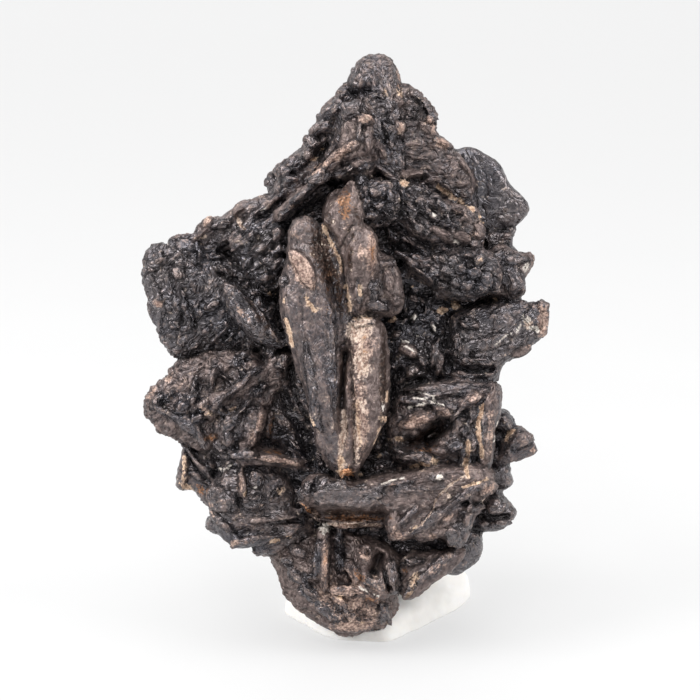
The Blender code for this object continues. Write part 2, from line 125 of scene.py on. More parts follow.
# %% The plates
Plate = namedtuple("Plate", "name depth thick lean_u lean_v square skin outline")
Skin = namedtuple("Skin", "pucker streak heading brown")
PLAIN = Skin(1.0, 0.0, 0, 0.12)
PLATES = [
    # the pointed top and the two flanks that run down from it
    Plate("summit", 0, 17, 0, 0, 2.6, (0.7, 0.1, 90, 0.3), [
        (-0.5, 136), (0.5, 139.5), (1.5, 141.5), (3, 143.2), (5, 144), (8.5, 144), (10.5, 143), (12, 140.5),
        (12.5, 137), (13, 134), (11, 129.5), (5, 128.5), (0.5, 131)]),
    Plate("summit_shoulder", 1, 16, 0, 0, 2.5, (0.7, 0, 0, 0.35), [
        (-3.4, 134.8), (-2.2, 136.6), (-0.5, 137.6), (0.5, 136), (0.5, 131), (-1, 126), (-5.5, 126),
        (-7.2, 129.3), (-5.2, 132.5)]),
    Plate("right_flank", 2, 18, 0.15, 0, 3, (0.8, 0, 0, 0.4), [
        (12.5, 137), (15.5, 136), (18.5, 134), (20.5, 132), (22, 129), (21.5, 126), (24, 123.5), (26.5, 121),
        (29, 117), (30.5, 113), (30.5, 108), (25, 108), (19, 111), (11, 115), (8, 122.5), (9, 131)]),
    Plate("right_fan", 8, 11, 0.1, 0, 4.5, (0.15, 0.0, -40, 0.05), [
        (25, 120), (26.5, 121.5), (29.5, 122.5), (33, 121), (37, 118.5), (39, 115), (40, 113), (43, 110.5),
        (45, 106.5), (42.5, 103.5), (40, 102), (35, 100.5), (29.5, 100), (26, 106)]),
    Plate("right_fan_foot", 9, 12, 0, 0, 4, (0.5, 0, 0, 0.15), [
        (30, 102), (37.5, 102), (41, 102.5), (40.5, 98.5), (42, 96.5), (39, 93.5), (31, 93.5),
        (27.5, 97.5)]),
    Plate("left_shoulder", 2, 16, -0.2, 0, 3, (0.6, 0.2, 50, 0.35), [
        (-7.2, 129.2), (-8.8, 127), (-10.2, 124), (-11.8, 121.6), (-14.6, 120), (-17, 118), (-19, 116.6),
        (-18.2, 114.5), (-18.6, 112), (-19.8, 110), (-15, 106), (-10, 109), (-4, 114), (0, 120), (0, 126),
        (-4, 129)]),
    Plate("left_crest", 3, 15, -0.1, 0, 3, (0.5, 0.7, 40, 0.35), [
        (-20.5, 110.5), (-24, 109.5), (-27, 109), (-28, 107), (-32, 105), (-34.5, 105), (-36.5, 103.5),
        (-38, 102), (-40, 100), (-43, 100.5), (-45, 99), (-40, 94.5), (-34, 94.5), (-26, 97.5), (-19, 101),
        (-14.5, 106), (-16, 109)]),
    # the spine and the crown over the twin blades
    Plate("spine", -3, 24, 0, 0.1, 2.5, (0.5, 0.3, 80, 0.6), [
        (-1, 133), (3, 132.5), (6, 129), (8, 122.5), (7, 116), (4, 112), (-1, 112.5), (-4, 117.5),
        (-3, 125)]),
    Plate("spine_left_ridge", -7, 14, 0, 0, 2.4, (0.4, 0.3, 35, 0.65), [
        (0, 122.5), (2.5, 120), (-1, 115.5), (-6, 112.5), (-10.5, 109), (-14.5, 105), (-17.5, 103),
        (-18.5, 105), (-15, 109), (-10.5, 112.5), (-7, 117), (-4, 121)]),
    Plate("crown_knobs", -7, 20, 0, 0, 2.6, (1.0, 0, 0, 0.25), [
        (0.5, 112.5), (5, 114), (10.5, 112.5), (13, 109), (12.5, 104.5), (9, 102), (3, 102.5), (0.5, 106)]),
    Plate("crown_wedge", -11, 18, 0, 0, 2.4, (0.4, 0.5, 80, 0.6), [
        (-5, 110), (-2, 111.5), (0.5, 110), (1, 106), (0, 102), (-2, 97.5), (-2.5, 95), (-4, 99), (-6, 102),
        (-6.5, 106)]),
    Plate("crown_blade", -13, 20, 0, 0, 2.5, (0.35, 0.4, 85, 0.75), [
        (0, 103.5), (3, 103), (6, 101), (7.5, 97), (7, 92), (6.5, 87.5), (5.5, 82.5), (3, 80), (0, 81),
        (-1.5, 86), (-2, 92.5), (-2, 99)]),
    Plate("crown_blade_outer", -10, 17, 0, 0, 3, (0.3, 0.6, 85, 0.5), [
        (7, 95.5), (10, 95), (12, 92.5), (13, 88), (13.5, 84), (12, 80.5), (7.5, 80), (4.5, 82), (5, 89)]),
    # the twin blades down the middle of the face
    Plate("twin_left", -14, 20, 0, 0, 2.6, (0.15, 0.8, 88, 0.4), [
        (-12, 104.5), (-9, 103.5), (-7, 100.5), (-5, 96), (-4, 90), (-3, 84), (-2.5, 77.5), (-2.5, 67.5),
        (-2.5, 57.5), (-1.5, 50), (-1, 44.5), (0, 40.5), (-2.5, 40.5), (-5.5, 43.5), (-8, 47.5), (-9, 54),
        (-10.5, 60), (-12, 65), (-14, 71), (-15.5, 76), (-17, 81), (-17.5, 85.5), (-16.5, 90), (-15.5, 94.5),
        (-15, 100), (-14, 103)]),
    Plate("twin_right", -12, 20, 0, 0, 2.8, (0.2, 0.8, 86, 0.8), [
        (0, 80), (3, 81), (6, 80.5), (8.5, 78.5), (9.5, 74), (10, 66), (10, 60), (9, 55.5), (7.5, 51),
        (5.5, 47.5), (3.5, 44), (2, 40.5), (0.5, 40.5), (0.5, 46), (0, 55), (-0.5, 62.5), (-1, 70),
        (-1, 75)]),
    Plate("twin_splinter", -15, 13, 0, 0, 2.5, (0.3, 0.7, 88, 0.7), [
        (-1.5, 72), (-0.5, 72), (0.5, 65), (1, 57.5), (1, 50), (0.5, 42.5), (-0.5, 41.5), (-1, 46),
        (-1.5, 55), (-1.5, 64)]),
    # the left side, from the top down
    Plate("left_upper_plate", 0, 15, -0.12, 0, 3.5, (1.0, 0.1, 60, 0.12), [
        (-51, 94.5), (-49.5, 96.5), (-47, 98), (-42.5, 98.5), (-36, 97.5), (-29, 94.5), (-22, 89),
        (-17.5, 82.5), (-16, 76), (-20, 72.5), (-26, 72), (-34, 72.5), (-39, 70.5), (-42, 70), (-44.5, 71),
        (-46.5, 74), (-47.5, 77.5), (-48.5, 81), (-50, 85.5), (-51, 90)]),
    Plate("left_upper_rib", -8, 9, 0, 0, 2.6, (0.6, 0.3, -50, 0.1), [
        (-30.5, 88.5), (-28, 88), (-24, 84), (-19.5, 79), (-16, 75), (-16.5, 72.5), (-20, 72), (-25, 76),
        (-29, 80.5), (-31, 85)]),
    Plate("left_upper_inner", -3, 14, 0, 0, 2.6, (1.0, 0.3, 40, 0.05), [
        (-29, 101), (-21, 104.5), (-15, 104), (-14.5, 97.5), (-16, 89), (-20.5, 86), (-25, 88), (-28, 94)]),
    Plate("left_middle_plate", 0, 17, -0.15, 0, 3, (0.9, 0.3, 40, 0.5), [
        (-42, 70), (-43.5, 68), (-45.5, 65), (-47.5, 64), (-49.5, 62.5), (-51, 60), (-51, 57), (-49.5, 54),
        (-47, 51), (-44, 50), (-40, 48), (-36, 46), (-29, 47.5), (-22, 52.5), (-17, 60), (-14.5, 67.5),
        (-15.5, 72), (-24, 72), (-32.5, 72.5), (-39, 71)]),
    Plate("left_middle_ridge", -6, 8, 0, 0, 2.4, (0.3, 0.8, 38, 0.6), [
        (-13, 72), (-12.5, 69.5), (-20, 64.5), (-26, 60.5), (-33, 57), (-39, 56), (-37.5, 59.5), (-31, 62.5),
        (-25, 66), (-19, 70.5)]),
    Plate("left_middle_knobs", -5, 14, 0, 0, 2.4, (0.8, 0.3, 70, 0.35), [
        (-22, 59), (-20, 55), (-22, 49), (-26, 47), (-31, 48), (-34, 52.5), (-32, 56), (-27.5, 58)]),
    Plate("left_shelf", -6, 12, 0, 0, 3, (0.2, 0.6, 0, 0.5), [
        (-27.5, 47), (-22, 48), (-15, 48), (-12, 46), (-11, 43), (-16, 43), (-22, 43.5), (-27.5, 43.5)]),
    Plate("left_small_wing", 3, 12, -0.1, 0, 4, (0.4, 0.3, 60, 0.3), [
        (-40.5, 48.5), (-42, 46), (-42.5, 43), (-43, 40.5), (-43, 38), (-41.5, 37), (-39, 37), (-37, 35),
        (-35, 33), (-32, 37.5), (-31, 42.5), (-34.5, 47)]),
    Plate("left_low_lobe", -3, 18, 0, 0, 3, (0.5, 0.2, 10, 0.3), [
        (-32, 42), (-34, 39.5), (-35.5, 36), (-35, 32.5), (-34.5, 29.5), (-32, 27), (-29, 25), (-25, 23.5),
        (-21, 24), (-16, 27), (-13.5, 31), (-12.5, 36), (-14, 40.5), (-19, 43.5), (-25.5, 44)]),
    Plate("left_low_back", 3, 9, 0, 0, 3, (0.4, 0.2, 10, 0.1), [
        (-34.5, 31), (-36, 29.5), (-36, 27.5), (-34, 26), (-31, 25.5), (-29, 27.5), (-30, 31)]),
    Plate("left_low_rim", -8, 8, 0, 0, 2.3, (0.2, 0.4, 10, 0.1), [
        (-34, 30), (-32, 26), (-28, 23), (-24.5, 23), (-19, 24), (-17, 26), (-22, 27), (-26, 26),
        (-30, 28)]),
    Plate("left_low_tier", -2, 14, 0, 0, 3, (0.3, 0.9, 5, 0.35), [
        (-24, 24), (-22, 21.5), (-19.5, 20.5), (-15, 22), (-10, 25), (-7.5, 30), (-12.5, 32), (-19, 30),
        (-22, 27)]),
    # the right side, from the top down
    Plate("right_upper_mass", -2, 20, 0.12, 0, 3, (0.9, 0.3, -35, 0.35), [
        (11, 114.5), (19, 112), (25.5, 108.5), (30.5, 107), (32.5, 102.5), (32.5, 97.5), (30, 94.5),
        (22.5, 94.5), (16, 96), (12, 100), (9, 104), (7.5, 110)]),
    Plate("right_middle_mass", -3, 20, 0.1, 0, 2.8, (0.8, 0, 0, 0.35), [
        (12.5, 96), (20, 96), (29, 97), (35, 96), (37.5, 92.5), (37.5, 87.5), (34, 85), (29, 84),
        (22.5, 84.5), (19, 87.5), (14.5, 90.5)]),
    Plate("right_wing_upper", 4, 13, 0.05, 0, 4.5, (0.35, 0.2, 60, 0.5), [
        (35, 97.5), (39, 98), (42, 96.5), (45, 96), (46, 94.5), (45, 92), (43.5, 89), (44, 87), (42, 84.5),
        (37.5, 84.5), (33, 85), (32, 91)]),
    Plate("right_wing", 2, 16, 0.18, 0, 4, (0.55, 0.2, 30, 0.2), [
        (25, 80.5), (30, 83), (37.5, 84), (42, 84.5), (45.5, 84), (48, 85), (49.5, 83), (49.5, 79.5),
        (49.5, 76), (47.5, 75), (45, 73.5), (44.5, 71.5), (41, 70), (38, 68), (36.5, 64), (32, 63),
        (27, 65.5), (24, 70.5), (24, 76)]),
    Plate("right_recess", 6, 20, 0, 0, 3.5, (1.3, 0, 0, 0.0), [
        (9, 86), (22.5, 86), (26, 75), (23, 64), (12.5, 63), (8, 70)]),
    Plate("right_low_mass", -2, 24, 0.1, 0, 3, (0.6, 0.4, 30, 0.4), [
        (10.5, 60), (15, 63), (22.5, 65), (30, 65), (35, 62.5), (36, 55), (35.5, 46), (32.5, 42.5), (25, 42),
        (17.5, 41), (12.5, 42.5), (9.5, 47.5), (9, 54)]),
    Plate("right_slab", -6, 16, 0, 0, 4, (0.3, 0.8, 87, 0.35), [
        (33, 63), (36, 64), (37.5, 62), (37.5, 57.5), (36, 52.5), (35.5, 46), (35, 42.5), (32, 42.5),
        (31.5, 49), (32, 56)]),
    Plate("right_slab_inner", -7, 15, 0, 0, 3.5, (0.3, 0.8, 85, 0.3), [
        (29.5, 62), (32, 62), (31.5, 55), (30.5, 47.5), (29, 42), (27, 42.5), (28, 50), (29, 56)]),
    Plate("right_low_wing_back", 6, 14, 0, 0, 3.5, (0.3, 0.5, 40, 0.05), [
        (36, 56), (38, 57.5), (40.5, 56), (42, 54), (40.5, 50), (37.5, 46), (35, 47.5)]),
    Plate("right_low_wing", 3, 14, 0, 0, 4, (0.3, 0.6, 30, 0.35), [
        (37.5, 50), (39.5, 52), (42.5, 53.5), (45, 51.5), (46, 49), (46.5, 46.5), (43, 45), (39.5, 44),
        (37, 43), (35.5, 45)]),
    Plate("right_low_knob", 4, 14, 0, 0, 3, (0.4, 0.3, 0, 0.1), [
        (35, 43), (39, 44), (40.5, 42.5), (40, 41.5), (41, 39.5), (40, 37.5), (37.5, 36.5), (34.5, 37),
        (33, 40)]),
    Plate("right_low_lobe", 3, 17, 0, 0, 3, (0.4, 0.3, 0, 0.15), [
        (34, 36), (37, 37), (39.5, 35), (41.5, 32.5), (42, 31), (40.5, 29), (38, 27), (33.5, 26.5),
        (30, 27.5), (29.5, 32)]),
    Plate("right_heel", 5, 18, 0, 0, 3, (0.4, 0.2, 0, 0.12), [
        (28, 28), (33, 27.5), (33.5, 24), (33, 20.5), (31, 18), (27.5, 16), (23, 16), (20.5, 19),
        (22.5, 24)]),
    # the ledge across the lower face, and the foot below it
    Plate("ledge", -8, 22, 0.08, 0, 4, (0.35, 0.8, 2, 0.6), [
        (-12, 39.5), (-7.5, 41.5), (-1, 40), (6, 41), (14, 42.5), (22.5, 44), (32, 44.5), (36, 42.5),
        (35.5, 38), (32, 34), (27.5, 31), (20, 30), (12.5, 29.5), (9, 29.5), (-1, 29.5), (-6, 30), (-10, 32),
        (-12, 35)]),
    Plate("ledge_lobe", -9, 18, 0.15, 0, 3.5, (0.2, 1.0, 38, 0.6), [
        (9, 32), (12.5, 35), (20, 36), (30, 37), (33, 34), (31, 30), (29.5, 27), (27.5, 24), (25, 23.5),
        (22.5, 26), (19, 25.5), (15.5, 26), (12.5, 25), (10, 26), (8.5, 28.5)]),
    Plate("foot", 0, 22, 0, 0, 3.2, (0.8, 0.3, -35, 0.8), [
        (-19.5, 23), (-19, 19), (-17, 15), (-16.5, 12), (-14.5, 9), (-11, 5.5), (-7.5, 3.5), (-4, 1.5),
        (-2, 0.5), (2.5, 1), (6, 2.5), (9, 2.5), (11, 5.5), (12.5, 8), (12, 11), (13, 16), (12.5, 22.5),
        (5, 26), (-5, 28), (-14, 26)]),
    Plate("foot_blade", 0, 17, 0, 0, 3.5, (0.2, 0.9, 42, 0.65), [
        (12, 20), (17.5, 22), (24, 23), (27.5, 23.5), (26, 20.5), (23, 17), (20, 15), (17.5, 13), (16, 10.5),
        (14, 11.5), (12.5, 14)]),
    Plate("foot_rod", -8, 9, 0, 0, 2.6, (0.3, 0.7, 88, 0.8), [
        (-8, 27.5), (-5, 28), (-4.5, 20), (-5, 13), (-7.5, 13), (-8, 20)]),
    Plate("foot_hump", -6, 18, 0, 0, 2.6, (0.4, 0.3, -30, 0.7), [
        (0.5, 23), (5.5, 24.5), (11, 23), (13, 19), (12, 13), (9, 10), (3, 10.5), (0, 15)]),
    # the floors of the gullies between them
    Plate("gully_floor", -3, 14, 0, 0, 3, PLAIN, [
        (-17, 98), (-15, 105), (-10, 111), (-4, 114), (-3, 106), (-8, 101), (-12, 97)]),
    Plate("left_low_floor", 0, 14, 0, 0, 3, PLAIN, [
        (-35, 48), (-26, 50), (-20, 46), (-22, 40), (-30, 38), (-35, 42)]),
    Plate("under_ledge_floor", 2, 18, 0, 0, 3, PLAIN, [
        (8, 30), (20, 31), (32, 30), (30, 20), (20, 16), (8, 18)]),
    # the body that all of them grow from
    Plate("core_low", 6, 28, 0, 0, 2.8, PLAIN, [
        (-30, 50), (-25, 30), (-12, 20), (10, 18), (25, 25), (33, 40), (34, 60), (25, 80), (0, 85),
        (-25, 80), (-35, 65)]),
    Plate("core_high", 5, 22, 0, 0, 2.8, PLAIN, [
        (-28, 90), (-15, 75), (15, 75), (32, 90), (30, 105), (15, 122), (5, 134), (-1, 132), (-12, 117),
        (-19, 109), (-29, 102)]),
]
print(len(PLATES), "plates on the face")

# %% [markdown]
# Nobody has drawn the back. Lobes are laid over it in a sunflower's spiral, which spaces them evenly, and
# dice decide how each is stretched, turned and tilted. They are larger and farther back near the middle, and
# the back is narrower towards the summit.

# %% Lobes over the back
BACK_CENTRE, BACK_REACH = Vector((-1.0, 70.0)), Vector((36.0, 58.0))
BACK_LOBES, BACK_SEED = 26, 11
GOLDEN_ANGLE = math.pi * (3 - math.sqrt(5))
LOBE_CORNERS, LOBE_THICK = 10, 14.0
NARROWING = 0.58


def back_plates():
    """Lobes over the back, each an uneven ten-sided outline."""
    dice = random.Random(BACK_SEED)
    for i in range(BACK_LOBES):
        share = math.sqrt((i + 0.5) / BACK_LOBES)  # 0 in the middle of the back and 1 at its rim
        angle = i * GOLDEN_ANGLE
        narrow = 1.0 - NARROWING * max(0.0, math.sin(angle)) * share
        reach = Vector((BACK_REACH.x * narrow, BACK_REACH.y)) * share
        middle = BACK_CENTRE + Vector((math.cos(angle) * reach.x, math.sin(angle) * reach.y))
        size = 13.0 - 4.5 * share
        stretch = dice.uniform(1.0, 1.5)
        heading = dice.uniform(0, math.pi)
        outline = []
        for k in range(LOBE_CORNERS):
            way = 2 * math.pi * k / LOBE_CORNERS
            radius = size * dice.uniform(0.75, 1.1)
            offset = Vector((math.cos(way) * radius * stretch, math.sin(way) * radius / stretch))
            outline.append(middle + Matrix.Rotation(heading, 2) @ offset)
        yield Plate(f"back_{i}", 15.0 - 10.0 * share ** 2, LOBE_THICK, dice.uniform(-0.35, 0.35),
                    dice.uniform(-0.25, 0.25), dice.uniform(2.6, 4.5), PLAIN, outline)


back_lobes = list(back_plates())
print(len(back_lobes), "lobes on the back")

# %% [markdown]
# ## A few plates drawn finer
#
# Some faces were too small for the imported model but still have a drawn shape. They are given the same way as
# the plates, with their outlines in squares: a web between the two tall blades, and the facets at their
# tops.

# %% The finer plates
FINE_PLATES = [
    Plate("web", -14.8, 10, 0.1, 0, 2.8, (0.3, 0.6, 80, 0.3), [
        (312, 232), (322, 226), (334, 232), (346, 246), (352, 275), (355, 300), (352, 345), (346, 350),
        (334, 334), (322, 290), (312, 255)]),
    Plate("slit_left", -15.6, 10, 0, 0, 3, (0.25, 0.7, 88, 0.5), [
        (327, 345), (341, 343), (343, 353), (341, 380), (340, 405), (342, 440), (343, 464), (335, 468),
        (328, 440), (325, 390)]),
    Plate("slit_right", -15.4, 10, 0, 0, 3, (0.3, 0.7, 88, 0.7), [
        (347, 344), (353, 346), (355, 375), (356, 420), (353, 455), (347, 468), (341, 462), (341, 430),
        (343, 410), (346, 385), (348, 360)]),
    Plate("wedge_face", -16.6, 8, 0, 0.05, 4, (0.35, 0.3, 85, 0.6), [
        (352, 184), (360, 203), (363, 224), (353, 236), (343, 252), (334, 240), (325, 228), (326, 217),
        (336, 202)]),
    Plate("knob_facet", -18.3, 8, 0.1, 0, 4, (0.1, 0.2, 85, 0.5), [
        (352, 232), (362, 234), (368, 246), (366, 266), (360, 280), (352, 276), (346, 262), (346, 244)]),
    Plate("knob_side", -17.4, 8, 0.35, 0, 3, (0.4, 0.2, 85, 0.9), [
        (362, 230), (372, 236), (378, 250), (378, 270), (372, 284), (363, 282), (362, 262), (366, 246)]),
    Plate("pale_facet", -19.6, 9, -0.25, 0, 4.5, (0.15, 0.4, -65, 0.9), [
        (291, 252), (301, 254), (313, 264), (318, 280), (316, 294), (307, 292), (299, 277), (290, 262)]),
    Plate("blade_tip", -16.5, 9, 0.1, 0.1, 3, (0.3, 0.5, 85, 0.4), [
        (296, 222), (308, 220), (319, 228), (322, 248), (318, 262), (306, 256), (294, 246), (290, 234)]),
    Plate("inner_ridge", -16.0, 8, 0, 0, 3, (0.5, 0.6, 85, 0.45), [
        (322, 250), (331, 262), (338, 290), (345, 330), (342, 352), (334, 345), (327, 318), (320, 284)]),
    Plate("right_slope", -7.5, 6, 0.6, 0, 3, (1.0, 0.2, -60, 0.25), [
        (366, 106), (384, 104), (398, 118), (408, 140), (410, 168), (400, 184), (384, 180), (370, 166),
        (362, 136)]),
    Plate("left_slope", -6.5, 6, -0.9, 0, 3, (0.9, 0.2, 60, 0.3), [
        (334, 112), (345, 118), (350, 136), (346, 158), (332, 176), (318, 184), (312, 176), (324, 150)]),
    Plate("foot_wedge", -9.0, 8, 0, 0.25, 3.4, (0.3, 0.9, 42, 0.6), [
        (402, 552), (430, 548), (463, 546), (466, 551), (452, 566), (436, 578), (421, 591), (408, 598),
        (400, 594), (401, 575)]),
]
print(len(FINE_PLATES), "finer plates")

# %% [markdown]
# ## Small crystals on the face
#
# Between the plates sit hundreds of small knobs, rods and splinters. Each row below is one: its middle on
# the squared paper, half its length and half its width in squares, its heading in degrees, how far it stands
# out in millimetres, and a letter for its skin. They are pebbles laid on the plates, so that the fusing that
# follows joins them neatly.

